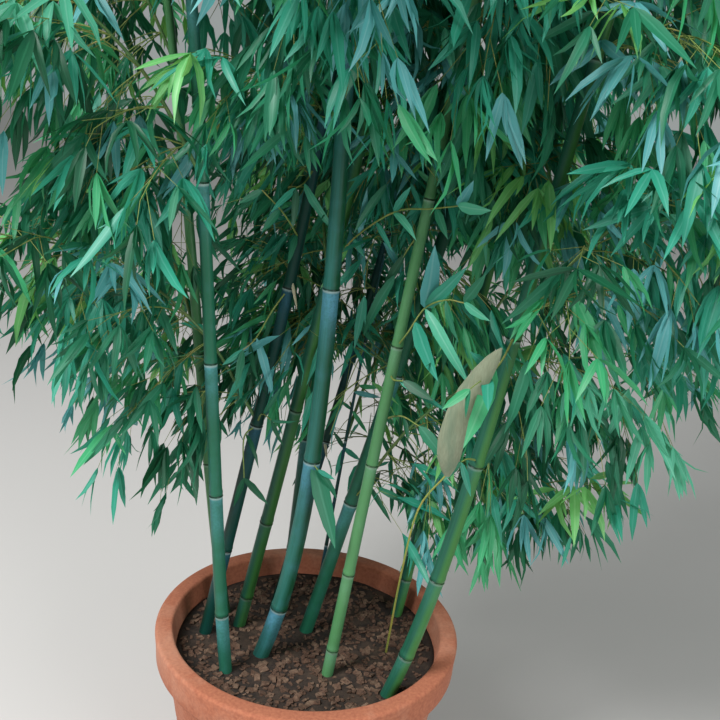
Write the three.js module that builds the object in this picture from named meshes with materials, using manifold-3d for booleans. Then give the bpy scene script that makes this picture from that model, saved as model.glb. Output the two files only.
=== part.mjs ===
// Potted bamboo: a clump of twelve canes from one root, about four metres tall, in a plain round tub.
// Millimetres, +Z up. The origin is the centre of the tub's flat underside, and the front is -Y.
// Each cane is a tapering, jointed limb from a flat cut at soil level to its tip. Its side branches leave
// at the joints. Each leafy branch is one solid: a stem, its twigs, and blades that each stand for a spray.

import * as THREE from "three";
import { mergeVertices } from "three/addons/utils/BufferGeometryUtils.js";
import Module from "manifold-3d";

const wasm = await Module();
wasm.setup();

// Driving dimensions of the tub and its soil
const TUB_HEIGHT = 450;
const TUB_FOOT_RADIUS = 225;
const TUB_MOUTH_RADIUS = 296;
const RIM_RADIUS = 310;
const RIM_DEPTH = 62;
const BAND_SLOPE = 3;
const LIP = 7;
const WALL = 22;
const FLOOR_THICKNESS = 30;
const SOIL_LEVEL = 405;
const TUB_SIDES = 40;

// Space between pieces that touch
const GAP = 0.3;
const ROUNDING = 0.1;

// How the canes grow: the nod's power, the joints' spacing and ridges, and the sides and steps of each solid
const BOW_HEIGHT = 350;
const NOD_POWER = 2.5;
const CANE_STEPS = 60;
const CANE_SIDES = 7;
const TIP_RADIUS = 1.3;
const TAPER_POWER = 1.5;
const LONGEST_CANE = 3450;
const SMALLEST_RIDGE_RADIUS = 7;
const RIDGE_SWELL = 1.13;
const RIDGE_HALF_LENGTH = 7;
const LONGEST_INTERNODE_AT = 0.2;
const INTERNODE_AT_FOOT = 0.42;
const INTERNODE_AT_TIP = 0.4;
const SHORTEST_INTERNODE = 0.3;
const BURIED = 40;

// Each cane: foot on the soil, lean as sideways travel for each unit of rise, bow as extra lean at the foot
// that dies out over BOW_HEIGHT, nod as the lean that its tip gains, length, diameter at the foot, height of
// one joint, the internode above that joint, the side that it faces in degrees from +X, and the height above
// the soil where its leaves begin.
const CANES = {
  left: {
    foot: [-213, 0], lean: [0.182, 0], bow: [0, 0], nod: [-0.45, -0.1], length: 3050,
    diameter: 25, joint: 478, internode: 280, faces: 195, leafy: 740,
  },
  olive: {
    foot: [-147, 40], lean: [0.184, -0.08], bow: [0, 0], nod: [-0.2, 0.2], length: 2900,
    diameter: 26, joint: 518, internode: 259, faces: 140, leafy: 1000,
  },
  centre: {
    foot: [-88, -60], lean: [-0.025, -0.05], bow: [0.35, 0], nod: [-0.1, -0.35], length: 3450,
    diameter: 32, joint: 450, internode: 333, faces: 255, leafy: 1300,
  },
  dark: {
    foot: [-82, 130], lean: [0.219, 0.03], bow: [0, 0], nod: [-0.1, 0.45], length: 2600,
    diameter: 18, joint: 401, internode: 218, faces: 95, leafy: 780,
  },
  bright: {
    foot: [50, -100], lean: [0.107, 0], bow: [0, 0], nod: [0.3, -0.4], length: 3000,
    diameter: 23, joint: 454, internode: 231, faces: 290, leafy: 1000,
  },
  shaded: {
    foot: [-4, 40], lean: [0.236, 0.02], bow: [0, 0], nod: [0.25, 0.1], length: 3250,
    diameter: 28, joint: 308, internode: 288, faces: 10, leafy: 590,
  },
  outer: {
    foot: [170, -150], lean: [0.103, -0.03], bow: [0.22, 0], nod: [0.35, -0.35], length: 2700,
    diameter: 28, joint: 508, internode: 240, faces: 325, leafy: 500,
  },
  slender: {
    foot: [7, 82], lean: [0.09, 0.02], bow: [0, 0], nod: [0.25, -0.2], length: 1250,
    diameter: 8, joint: 300, internode: 120, faces: 60, leafy: 560,
  },
  front_left: {
    foot: [-150, -120], lean: [-0.05, -0.03], bow: [-0.05, 0], nod: [-0.45, -0.25], length: 2850,
    diameter: 25, joint: 380, internode: 255, faces: 225, leafy: 1150,
  },
  far_left: {
    foot: [-185, 80], lean: [-0.1, 0.06], bow: [-0.08, 0], nod: [-0.5, 0.1], length: 2650,
    diameter: 23, joint: 340, internode: 235, faces: 165, leafy: 560,
  },
  back: {
    foot: [-60, 190], lean: [0.045, 0.1], bow: [0, 0], nod: [-0.3, 0.5], length: 3150,
    diameter: 26, joint: 360, internode: 265, faces: 110, leafy: 760,
  },
  back_right: {
    foot: [190, 130], lean: [0.15, 0.08], bow: [0, 0], nod: [0.35, 0.35], length: 2950,
    diameter: 25, joint: 330, internode: 245, faces: 45, leafy: 400,
  },
};

// Leafy branches: how many leave each cane below its tip, and the shape of their stems, in mm and degrees
const SIDE_BRANCHES = 3;
const SLENDER_SIDE_BRANCHES = 1;
const LAST_BRANCH_SHARE = 0.84;
const SHORTEST_CANE_SHARE = 0.62;
const STEM_LENGTH_LOW = 700;
const STEM_LENGTH_HIGH = 440;
const TIP_STEM_LENGTH = 360;
const STEM_RISE = 64;
const STEM_DROOP = -4;
const TIP_STEM_DROOP = 5;
const STEM_BEND_POWER = 1.4;
const STEM_SEGMENTS = 3;
const STEM_ROOT_RADIUS = 5.4;
const STEM_END_RADIUS = 4.2;

// How a branch picks its joint and heading: the turns it tries away from its cane's face, and the room it wants
const STEM_TURNS = [45, 30, 60, 15, 75, 0, 90, -15, 105, -30, -45, -60, -75, -90];
const JOINT_CHOICE = 300;
const STEM_PROBES = 24;
const STEM_CLEARANCE = 40;
const STEM_ROOM = 400;
const OUTWARD_FAVOUR = 0.35;

// Twigs: how many to a branch, where along it, their size, and the range of turn and lift that they try
const TWIGS = 4;
const FIRST_TWIG = 0.26;
const LAST_TWIG = 0.9;
const TWIG_LENGTH = 140;
const TWIG_RADIUS = 2;
const TWIG_TAPER = 0.8;
const TWIG_TURN = [24, 77];
const TWIG_LIFT = [-35, 45];
const TWIG_TRIES = 20;

// Blades: where they leave a twig and a stem's end, their size, and the range of droop and facing that they try
const BLADES_ON_A_TWIG = [0.62, 0.97];
const BLADES_ON_AN_END = [0.9, 0.985];
const BLADE_LENGTH = 270;
const BLADE_WIDTH = 46;
const BLADE_THICKNESS = 5;
const BLADE_WIDEST = 0.34;
const BLADE_SINK = 0.5;
const BLADE_BEND = 0.2;
const BLADE_SPREAD = 27;
const BLADE_SCATTER = 16;
const BLADE_HANG = -60;
const BLADE_HANG_SHARE = [0.1, 0.7];
const BLADE_FACING = [20, 75];
const BLADE_TRIES = 6;

// How far a branch's twigs and blades may reach, what they keep clear of, and where they are tested for it
const REACH = 420;
const BETWEEN_BRANCHES = 9;
const CLEAR_OF_CANES = 9;
const LOWEST_LEAF = 560;
const TWIG_PROBES = [0.3, 0.5, 0.7, 0.85, 1];
const BLADE_PROBES = [0.12, BLADE_WIDEST, 0.46, 0.6, 0.73, 0.87, 1];

// Colours, as seen in daylight shade
const CANE_COLOURS = {
  left: 0x16392f, olive: 0x35602f, centre: 0x3a6a66, dark: 0x122e26, bright: 0x53934d, shaded: 0x1d4a3f,
  outer: 0x4a7a35, slender: 0x1a3a28, front_left: 0x2c5a44, far_left: 0x3c6f45, back: 0x22493a,
  back_right: 0x2f6140,
};
const LEAF_COLOUR = 0x1f6b45;
const TUB_COLOUR = 0x8f5a40;
const SOIL_COLOUR = 0x3a2b20;

const degrees = Math.PI / 180;
const mix = (a, b, share) => a + (b - a) * share;

/** A repeatable run of numbers from 0 to 1 that starts from a whole number. */
function seeded(seed) {
  let state = seed >>> 0;
  return () => {
    state = (state + 0x6d2b79f5) >>> 0;
    let t = state;
    t = Math.imul(t ^ (t >>> 15), t | 1);
    t ^= t + Math.imul(t ^ (t >>> 7), t | 61);
    return ((t ^ (t >>> 14)) >>> 0) / 4294967296;
  };
}

/** A closed three.js geometry as a solid: shared vertices merged and the faces that have no area dropped. */
function solid(geometry) {
  const bare = new THREE.BufferGeometry();
  bare.setAttribute("position", geometry.getAttribute("position").clone());
  if (geometry.index) bare.setIndex(geometry.index.clone());
  const merged = mergeVertices(bare, 1e-4);
  const corners = [];
  for (let i = 0; i < merged.index.count; i += 3) {
    const [a, b, c] = [0, 1, 2].map((k) => merged.index.getX(i + k));
    if (a !== b && b !== c && a !== c) corners.push(a, b, c);
  }
  const vertProperties = new Float32Array(merged.getAttribute("position").array);
  return new wasm.Manifold(new wasm.Mesh({ numProp: 3, vertProperties, triVerts: new Uint32Array(corners) }));
}

/** A solid as a mesh with its name and colour. */
function meshOf(name, body, colour, roughness) {
  const { vertProperties, triVerts } = body.getMesh();
  const geometry = new THREE.BufferGeometry();
  geometry.setAttribute("position", new THREE.BufferAttribute(vertProperties, 3));
  geometry.setIndex(new THREE.BufferAttribute(triVerts, 1));
  geometry.computeVertexNormals();
  const mesh = new THREE.Mesh(geometry, new THREE.MeshStandardMaterial({ color: colour, roughness }));
  mesh.name = name;
  return mesh;
}

/** Moves each vertex of a geometry that stands along +Y, from 0 up, by a function of its place. */
function bend(geometry, place) {
  const position = geometry.getAttribute("position");
  const point = new THREE.Vector3();
  for (let i = 0; i < position.count; i++) {
    place(point.fromBufferAttribute(position, i));
    position.setXYZ(i, point.x, point.y, point.z);
  }
  return geometry;
}

/** A lathed solid about the Z axis from radius and height pairs. */
function turned(profile) {
  const points = profile.map(([radius, height]) => new THREE.Vector2(radius, height));
  const geometry = new THREE.LatheGeometry(points, TUB_SIDES);
  return solid(geometry.rotateX(Math.PI / 2));
}

/** The tub's inner radius at a height, which its outer wall and its thickness set. */
function innerRadius(height) {
  return mix(TUB_FOOT_RADIUS, TUB_MOUTH_RADIUS, height / TUB_HEIGHT) - WALL;
}

/** A plain tapered tub with a straight rim band, a rounded lip and a flat underside. */
function tub() {
  const bandFoot = TUB_HEIGHT - RIM_DEPTH;
  const wallAtBand = mix(TUB_FOOT_RADIUS, TUB_MOUTH_RADIUS, bandFoot / TUB_HEIGHT);
  return turned([
    [0, 0],
    [TUB_FOOT_RADIUS - LIP, 0],
    [TUB_FOOT_RADIUS, LIP],
    [wallAtBand, bandFoot - LIP],
    [RIM_RADIUS - BAND_SLOPE, bandFoot],
    [RIM_RADIUS, TUB_HEIGHT - LIP],
    [RIM_RADIUS - LIP, TUB_HEIGHT],
    [innerRadius(TUB_HEIGHT) + LIP, TUB_HEIGHT],
    [innerRadius(TUB_HEIGHT), TUB_HEIGHT - LIP],
    [innerRadius(FLOOR_THICKNESS), FLOOR_THICKNESS],
    [0, FLOOR_THICKNESS],
  ]);
}

/** The soil that fills the tub to its level, flat on top. */
function soil() {
  const slack = (GAP + ROUNDING) / Math.cos(Math.PI / TUB_SIDES);
  return turned([
    [0, FLOOR_THICKNESS + GAP],
    [innerRadius(FLOOR_THICKNESS) - slack, FLOOR_THICKNESS + GAP],
    [innerRadius(SOIL_LEVEL) - slack, SOIL_LEVEL],
    [0, SOIL_LEVEL],
  ]);
}

/** Points along a cane's centreline, one for each equal step of its length. */
function centreline(cane) {
  const step = cane.length / CANE_STEPS;
  const points = [new THREE.Vector3(cane.foot[0], cane.foot[1], SOIL_LEVEL)];
  for (let i = 0; i < CANE_STEPS; i++) {
    const share = (i + 0.5) / CANE_STEPS;
    const [x, y] = [0, 1].map(
      (k) =>
        cane.lean[k] * (1 - share * share) +
        cane.bow[k] * Math.exp((-share * cane.length) / BOW_HEIGHT) +
        cane.nod[k] * share ** NOD_POWER,
    );
    points.push(points[i].clone().add(new THREE.Vector3(x, y, 1).setLength(step)));
  }
  return points;
}

/** Place and direction at a length along a line of evenly spaced points, past its ends too. */
function along(points, length, total) {
  const at = (length / total) * (points.length - 1);
  const i = Math.min(Math.max(Math.floor(at), 0), points.length - 2);
  const place = points[i].clone().lerp(points[i + 1], at - i);
  const direction = points[i + 1].clone().sub(points[i]).normalize();
  return { place, direction };
}

/** A cane's radius at a share of its length. */
function caneRadius(cane, share) {
  return Math.max(TIP_RADIUS, (cane.diameter / 2) * (1 - Math.min(Math.max(share, 0), 1) ** TAPER_POWER));
}

/** How long an internode is at a share of the cane, beside the longest: short at the foot and the tip. */
function internodeShare(share) {
  if (share < LONGEST_INTERNODE_AT) return mix(INTERNODE_AT_FOOT, 1, share / LONGEST_INTERNODE_AT);
  return mix(1, INTERNODE_AT_TIP, (share - LONGEST_INTERNODE_AT) / (1 - LONGEST_INTERNODE_AT));
}

/** Lengths along a cane at which its joints stand, upwards, worked out both ways from the one that is known. */
function joints(cane) {
  const longest = cane.internode / internodeShare(cane.joint / cane.length);
  const found = [cane.joint];
  const shortest = longest * SHORTEST_INTERNODE;
  for (let s = cane.joint; s < cane.length - shortest; ) {
    s += longest * internodeShare(s / cane.length);
    if (s < cane.length - shortest) found.push(s);
  }
  for (let s = cane.joint; s > shortest; ) {
    s -= longest * internodeShare(s / cane.length);
    if (s > shortest / 2) found.unshift(s);
  }
  return found;
}

/** A cane's solid, with a ridge at each joint that is thick enough to show one. grow makes it fatter all round. */
function caneSolid(cane, points, stops, grow = 0) {
  const radius = (s) => caneRadius(cane, s / cane.length) + grow;
  const profile = [[0, -BURIED], [radius(0), -BURIED]];
  for (const s of stops) {
    if (radius(s) > SMALLEST_RIDGE_RADIUS) {
      profile.push([radius(s), s - RIDGE_HALF_LENGTH]);
      profile.push([radius(s) * RIDGE_SWELL, s]);
      profile.push([radius(s), s + RIDGE_HALF_LENGTH]);
    } else profile.push([radius(s), s]);
  }
  profile.push([radius(cane.length), cane.length + grow]);
  profile.push([0, cane.length + grow]);
  const lathe = new THREE.LatheGeometry(profile.map(([r, s]) => new THREE.Vector2(r, s)), CANE_SIDES);
  const right = new THREE.Vector3();
  const back = new THREE.Vector3();
  bend(lathe, (point) => {
    const { place, direction } = along(points, point.y, cane.length);
    right.set(1, 0, 0).addScaledVector(direction, -direction.x).normalize();
    back.crossVectors(direction, right);
    point.copy(place.addScaledVector(right, point.z).addScaledVector(back, point.x));
  });
  const below = new THREE.BoxGeometry(2 * RIM_RADIUS, 2 * RIM_RADIUS, 2 * SOIL_LEVEL).translate(0, 0, GAP);
  return solid(lathe).subtract(solid(below));
}

/** The centreline of a branch's stem: it leaves a cane at a rise and bends over as it goes. */
function stemLine(root, heading, length, rise, droop) {
  const points = [root.clone()];
  const out = new THREE.Vector3(Math.cos(heading * degrees), Math.sin(heading * degrees), 0);
  for (let i = 0; i < STEM_SEGMENTS; i++) {
    const share = (i + 0.5) / STEM_SEGMENTS;
    const angle = mix(rise, droop, share ** STEM_BEND_POWER) * degrees;
    const step = out.clone().multiplyScalar(Math.cos(angle)).setZ(Math.sin(angle));
    points.push(points[i].clone().addScaledVector(step, length / STEM_SEGMENTS));
  }
  return points;
}

/** A tapering three-sided rod along points, with its faces turned about side. */
function rod(points, rootRadius, endRadius, side) {
  const segments = points.length - 1;
  const geometry = new THREE.CylinderGeometry(endRadius, rootRadius, segments, 3, segments);
  geometry.translate(0, segments / 2, 0);
  const up = new THREE.Vector3();
  bend(geometry, (point) => {
    const { place, direction } = along(points, point.y, segments);
    up.crossVectors(side, direction).normalize();
    point.copy(place.addScaledVector(side, point.x).addScaledVector(up, point.z));
  });
  return solid(geometry);
}

/** Where a blade's rib runs, drooping towards its tip, and the ways across it and out of its upper face. */
function bladeFrame(root, direction, flat) {
  const across = new THREE.Vector3().crossVectors(flat, direction).normalize();
  const up = new THREE.Vector3().crossVectors(direction, across).normalize();
  const at = (share) =>
    root
      .clone()
      .addScaledVector(direction, share * BLADE_LENGTH)
      .add(new THREE.Vector3(0, 0, -BLADE_BEND * share * share * BLADE_LENGTH));
  return { at, across, up };
}

/** A blade: a ball of three sides and two rows, pulled out to a root, a tip, two edges and a rib below. */
function blade(root, direction, flat) {
  const { at, across, up } = bladeFrame(root, direction, flat);
  const geometry = new THREE.SphereGeometry(1, 3, 2, Math.PI / 2);
  const ballWidth = Math.sqrt(3);
  const ballDepth = 1.5;
  bend(geometry, (point) => {
    const share = point.y > 0.5 ? 1 : point.y < -0.5 ? -BLADE_SINK / BLADE_LENGTH : BLADE_WIDEST;
    const place = at(share);
    place.addScaledVector(across, (point.x * BLADE_WIDTH) / ballWidth);
    place.addScaledVector(up, (-point.z * BLADE_THICKNESS) / ballDepth);
    point.copy(place);
  });
  return solid(geometry);
}

/** Points on a blade's outline and rib, to test where it lies. */
function bladeProbes(root, direction, flat) {
  const { at, across } = bladeFrame(root, direction, flat);
  const probes = [];
  for (const share of BLADE_PROBES) {
    const halfWidth = (BLADE_WIDTH / 2) * Math.min(share / BLADE_WIDEST, (1 - share) / (1 - BLADE_WIDEST));
    for (const side of [-1, 0, 1]) probes.push(at(share).addScaledVector(across, side * halfWidth));
  }
  return probes;
}

/** Distance from a point to a line of points. */
function distanceTo(points, point) {
  const nearest = new THREE.Vector3();
  const segment = new THREE.Line3();
  let least = Infinity;
  for (let i = 0; i + 1 < points.length; i++) {
    segment.set(points[i], points[i + 1]).closestPointToPoint(point, true, nearest);
    least = Math.min(least, nearest.distanceTo(point));
  }
  return least;
}

// Where each cane runs
const grown = Object.entries(CANES).map(([name, cane]) => {
  const points = centreline(cane);
  return { name, cane, points, stops: joints(cane) };
});

/** How much room a stem has: its outer half's least distance to the stems there, and none if it meets a cane. */
function roomFor(owner, line, others) {
  const probes = [];
  for (let i = 1; i <= STEM_PROBES; i++) probes.push(along(line, i / STEM_PROBES, 1).place);
  const gapTo = (points) => Math.min(...probes.map((probe) => distanceTo(points, probe)));
  const nearest = Math.min(...others.map(({ line: other }) => gapTo(other)));
  if (nearest < STEM_CLEARANCE) return 0;
  if (grown.some(({ name, points }) => name !== owner && gapTo(points) < STEM_CLEARANCE)) return 0;
  const outer = probes.slice(STEM_PROBES / 2);
  return Math.min(STEM_ROOM, ...outer.flatMap((probe) => others.map(({ line: other }) => distanceTo(other, probe))));
}

/** Adds a cane's leafy branches: one at each chosen joint, turned until clear, and one that carries on its tip. */
function addStems({ name, cane, points, stops }, stems) {
  const size = mix(SHORTEST_CANE_SHARE, 1, cane.length / LONGEST_CANE);
  const count = name === "slender" ? SLENDER_SIDE_BRANCHES : SIDE_BRANCHES;
  for (let k = 0; k < count; k++) {
    const target = mix(cane.leafy, cane.length * LAST_BRANCH_SHARE, count > 1 ? k / (count - 1) : 0);
    const near = stops.filter((stop) => Math.abs(stop - target) < JOINT_CHOICE);
    const tries = near.flatMap((s) => {
      const length = mix(STEM_LENGTH_LOW, STEM_LENGTH_HIGH, s / cane.length) * size;
      const root = along(points, s + RIDGE_HALF_LENGTH, cane.length).place;
      return STEM_TURNS.map((turn) => {
        const heading = cane.faces + (k % 2 ? -1 : 1) * turn;
        const line = stemLine(root, heading, length, STEM_RISE, STEM_DROOP);
        const favour = 1 + OUTWARD_FAVOUR * Math.cos(turn * degrees);
        return { heading, line, room: roomFor(name, line, stems) * favour };
      });
    });
    const { heading, line } = tries.reduce((best, one) => (one.room > best.room ? one : best));
    stems.push({ heading, line, name: `leaves_${name}_${k + 1}`, owner: name });
  }
  const { place, direction } = along(points, cane.length + GAP, cane.length);
  const heading = Math.atan2(direction.y, direction.x) / degrees;
  const line = stemLine(place, heading, TIP_STEM_LENGTH * size, Math.asin(direction.z) / degrees, TIP_STEM_DROOP);
  stems.push({ heading, line, name: `leaves_${name}_${count + 1}`, owner: name });
  return stems;
}

const stems = grown.reduce((found, one) => addStems(one, found), []);

/** True if every probe is in the branch's own space: near its stem, nearer than to any other, and off the canes. */
function inOwnSpace(stem, probes) {
  return probes.every((probe) => {
    const own = distanceTo(stem.line, probe);
    if (own > REACH || probe.z < LOWEST_LEAF) return false;
    if (stems.some((other) => other !== stem && distanceTo(other.line, probe) < own + BETWEEN_BRANCHES)) return false;
    return grown.every(({ cane, points }) => distanceTo(points, probe) > cane.diameter / 2 + CLEAR_OF_CANES);
  });
}

/** A unit vector from a compass heading and a rise above the horizon, both in degrees. */
function pointing(heading, rise) {
  const flat = Math.cos(rise * degrees);
  return new THREE.Vector3(
    Math.cos(heading * degrees) * flat,
    Math.sin(heading * degrees) * flat,
    Math.sin(rise * degrees),
  );
}

/** One leafy branch: its stem, twigs to either side, and blades in fans, each left out where it has no space. */
function leafyBranch(stem, seed) {
  const random = seeded(seed);
  const within = ([low, high]) => mix(low, high, random());
  let body = rod(stem.line, STEM_ROOT_RADIUS, STEM_END_RADIUS, pointing(stem.heading + 90, 0));
  const addBlades = (line, shares, heading, rise) => {
    shares.forEach((share, i) => {
      const root = along(line, share, 1).place;
      for (let attempt = 0; attempt < BLADE_TRIES; attempt++) {
        const turn = (i ? 1 : -1) * BLADE_SPREAD + within([-BLADE_SCATTER, BLADE_SCATTER]);
        const direction = pointing(heading + turn, mix(rise, BLADE_HANG, within(BLADE_HANG_SHARE)));
        const flat = pointing(360 * random(), within(BLADE_FACING));
        if (!inOwnSpace(stem, bladeProbes(root, direction, flat))) continue;
        body = body.add(blade(root, direction, flat));
        return;
      }
    });
  };
  for (let i = 0; i < TWIGS; i++) {
    const share = mix(FIRST_TWIG, LAST_TWIG, i / (TWIGS - 1));
    const { place } = along(stem.line, share, 1);
    for (let attempt = 0; attempt < TWIG_TRIES; attempt++) {
      const heading = stem.heading + (i % 2 ? -1 : 1) * within(TWIG_TURN);
      const lift = within(TWIG_LIFT);
      const length = TWIG_LENGTH * mix(1, 0.7, share) * within([0.75, 1.2]);
      const end = place.clone().addScaledVector(pointing(heading, lift), length);
      if (!inOwnSpace(stem, TWIG_PROBES.map((way) => place.clone().lerp(end, way)))) continue;
      body = body.add(rod([place, end], TWIG_RADIUS, TWIG_RADIUS * TWIG_TAPER, pointing(heading + 90, 0)));
      addBlades([place, end], BLADES_ON_A_TWIG, heading, lift);
      break;
    }
  }
  const { direction } = along(stem.line, 1, 1);
  addBlades(stem.line, BLADES_ON_AN_END, stem.heading, Math.asin(direction.z) / degrees);
  return body;
}

/** The largest body of a solid, without loose scraps. */
function whole(body) {
  return body.decompose().reduce((a, b) => (b.volume() > a.volume() ? b : a));
}

const bamboo = new THREE.Group();
bamboo.add(meshOf("tub", tub(), TUB_COLOUR, 0.85));
bamboo.add(meshOf("soil", soil(), SOIL_COLOUR, 0.95));
const envelopes = {};
for (const { name, cane, points, stops } of grown) {
  bamboo.add(meshOf(`cane_${name}`, caneSolid(cane, points, stops), CANE_COLOURS[name], 0.45));
  envelopes[name] = caneSolid(cane, points, stops, GAP);
}
stems.forEach((stem, i) => {
  const branch = leafyBranch(stem, 100 + i).subtract(envelopes[stem.owner]);
  bamboo.add(meshOf(stem.name, whole(branch), LEAF_COLOUR, 0.55));
});

export default bamboo;
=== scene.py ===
"""Potted bamboo: the finish of a clump of twelve canes in a terracotta tub.

Lengths in the classes are millimetres, as in the part's source, and meshes are made in metres. The canes and
the leafy branches follow the source's rule, written again here. The branches then carry on to finer twigs and
to leaves of their real size, inside the reach that the source gives each branch.
"""

import logging
import math
from dataclasses import dataclass, field, replace
from enum import Enum
from functools import cache

import bpy
import numpy as np
from bpy.types import Collection, Material, Mesh, Node, NodeSocket, NodeTree, Object
from mathutils import Matrix, Vector


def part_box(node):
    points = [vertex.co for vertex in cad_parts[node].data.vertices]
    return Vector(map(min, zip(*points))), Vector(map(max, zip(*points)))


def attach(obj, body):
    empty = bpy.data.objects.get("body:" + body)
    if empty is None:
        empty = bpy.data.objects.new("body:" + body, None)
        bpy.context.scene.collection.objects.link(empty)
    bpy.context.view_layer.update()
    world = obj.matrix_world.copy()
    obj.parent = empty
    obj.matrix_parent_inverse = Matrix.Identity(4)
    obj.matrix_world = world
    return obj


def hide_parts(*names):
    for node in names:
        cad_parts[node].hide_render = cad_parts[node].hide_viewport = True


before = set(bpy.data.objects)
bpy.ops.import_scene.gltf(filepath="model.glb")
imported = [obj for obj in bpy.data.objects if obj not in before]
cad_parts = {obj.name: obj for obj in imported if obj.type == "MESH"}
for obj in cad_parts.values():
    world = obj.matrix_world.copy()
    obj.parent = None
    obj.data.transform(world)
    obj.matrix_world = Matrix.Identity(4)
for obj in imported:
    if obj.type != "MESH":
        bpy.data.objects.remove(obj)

LOG = logging.getLogger("potted_bamboo")
MM = 0.001
Array = np.ndarray
Pair = tuple[float, float]


def mix(low: float, high: float, share: float) -> float:
    """The number a share of the way from low to high."""
    return low + (high - low) * share


def linear(colour: str) -> tuple[float, float, float, float]:
    """Turns an sRGB hex colour into linear light.

    Args:
        colour: six hex digits after a hash mark.

    Returns:
        Red, green, blue and an alpha of one.
    """
    parts = [int(colour[i : i + 2], 16) / 255 for i in (1, 3, 5)]
    red, green, blue = (p / 12.92 if p <= 0.04045 else ((p + 0.055) / 1.055) ** 2.4 for p in parts)
    return (red, green, blue, 1.0)


def unit(vectors: Array) -> Array:
    """Vectors of length one, along the last axis."""
    return vectors / np.maximum(np.linalg.norm(vectors, axis=-1, keepdims=True), 1e-9)


def pointing(heading: Array | float, rise: Array | float) -> Array:
    """Unit vectors from headings, in degrees from +X, and rises above the horizon, in degrees."""
    turn, lift = np.radians(heading), np.radians(rise)
    return np.stack([np.cos(turn) * np.cos(lift), np.sin(turn) * np.cos(lift), np.sin(lift)], axis=-1)


def bearings(ways: Array) -> tuple[Array, Array]:
    """The headings and rises of unit vectors, in degrees."""
    rise = np.degrees(np.arcsin(np.clip(ways[..., 2], -1, 1)))
    return np.degrees(np.arctan2(ways[..., 1], ways[..., 0])), rise


def add_node(
    tree: NodeTree, kind: str, inputs: dict[str | int, object] | None = None, **settings: object
) -> Node:
    """Adds a node with its settings, values and links.

    Args:
        tree: the node tree that it joins.
        kind: the node's type.
        inputs: for each input, by name or number, a value, an output, or a node for its first output in use.
        settings: the node's own properties.

    Returns:
        The new node.
    """
    node = tree.nodes.new(kind)
    for name, value in settings.items():
        setattr(node, name, value)
    for name, value in (inputs or {}).items():
        if isinstance(value, Node):
            value = next(output for output in value.outputs if output.enabled)
        if isinstance(value, NodeSocket):
            tree.links.new(value, node.inputs[name])
        else:
            node.inputs[name].default_value = value
    return node


def blank_material(name: str) -> tuple[Material, NodeTree]:
    """Starts a material.

    Args:
        name: the material's name.

    Returns:
        The material and its empty node tree.
    """
    made = bpy.data.materials.new(name)
    made.use_nodes = True
    made.node_tree.nodes.clear()
    return made, made.node_tree


class Tint(Enum):
    """The leaf colours, dealt out by spray."""

    DEEP = "deep"
    SHADE = "shade"
    TEAL = "teal"
    MID = "mid"
    BLUE = "blue"
    FRESH = "fresh"
    PALE = "pale"


@dataclass(frozen=True)
class LeafSkin:
    """Bamboo leaf: a thin matt blade, satin above, that lets some light through."""

    tint: Tint
    blade: str
    vein: str
    glow: str

    WIDTH = 18.0
    # Where the rib fades out, as shares of the width: the real one is 1 mm wide, drawn at 2.5 mm to show
    RIB_EDGE = (0.03, 0.1)
    RIB_SHARE = 0.55
    VEIN_SHARE = 0.3
    VEIN_RELIEF = 0.4
    ROUGHNESS = 0.46
    IOR = 1.45
    LIT_THROUGH = 0.28

    def material(self) -> Material:
        """Makes the leaf's material: a paler rib and fine lengthwise veins over one colour.

        Returns:
            The material.
        """
        made, tree = blank_material(f"bamboo_leaf_{self.tint.value}")
        chart = add_node(tree, "ShaderNodeUVMap")
        along, across, _ = add_node(tree, "ShaderNodeSeparateXYZ", {0: chart}).outputs
        off_rib = add_node(tree, "ShaderNodeMath", {0: across, 1: 0.5}, operation="SUBTRACT")
        off_rib = add_node(tree, "ShaderNodeMath", {0: off_rib}, operation="ABSOLUTE")
        low, high = self.RIB_EDGE
        rib = add_node(tree, "ShaderNodeMapRange", {0: off_rib, 1: low, 2: high, 3: self.RIB_SHARE, 4: 0.0})
        # Veins lie about 1 mm apart
        across = add_node(tree, "ShaderNodeMath", {0: across, 1: self.WIDTH}, operation="MULTIPLY")
        lines = add_node(tree, "ShaderNodeCombineXYZ", {0: along, 1: across})
        veins = add_node(tree, "ShaderNodeTexNoise", {"Vector": lines, "Scale": 1.0, "Detail": 2.0})
        light = add_node(tree, "ShaderNodeMapRange", {0: veins, 1: 0.45, 2: 0.75, 3: 0.0, 4: self.VEIN_SHARE})
        share = add_node(tree, "ShaderNodeMath", {0: rib, 1: light}, operation="MAXIMUM")
        colours = {0: share, 6: linear(self.blade), 7: linear(self.vein)}
        colour = add_node(tree, "ShaderNodeMix", colours, data_type="RGBA")
        relief = {"Height": veins, "Strength": 0.35, "Distance": self.VEIN_RELIEF * MM}
        surface = {"Base Color": colour, "Roughness": self.ROUGHNESS, "IOR": self.IOR}
        surface["Normal"] = add_node(tree, "ShaderNodeBump", relief)
        face = add_node(tree, "ShaderNodeBsdfPrincipled", surface)
        through = add_node(tree, "ShaderNodeBsdfTranslucent", {"Color": linear(self.glow)})
        both = add_node(tree, "ShaderNodeMixShader", {0: self.LIT_THROUGH, 1: face, 2: through})
        add_node(tree, "ShaderNodeOutputMaterial", {"Surface": both})
        return made


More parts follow.
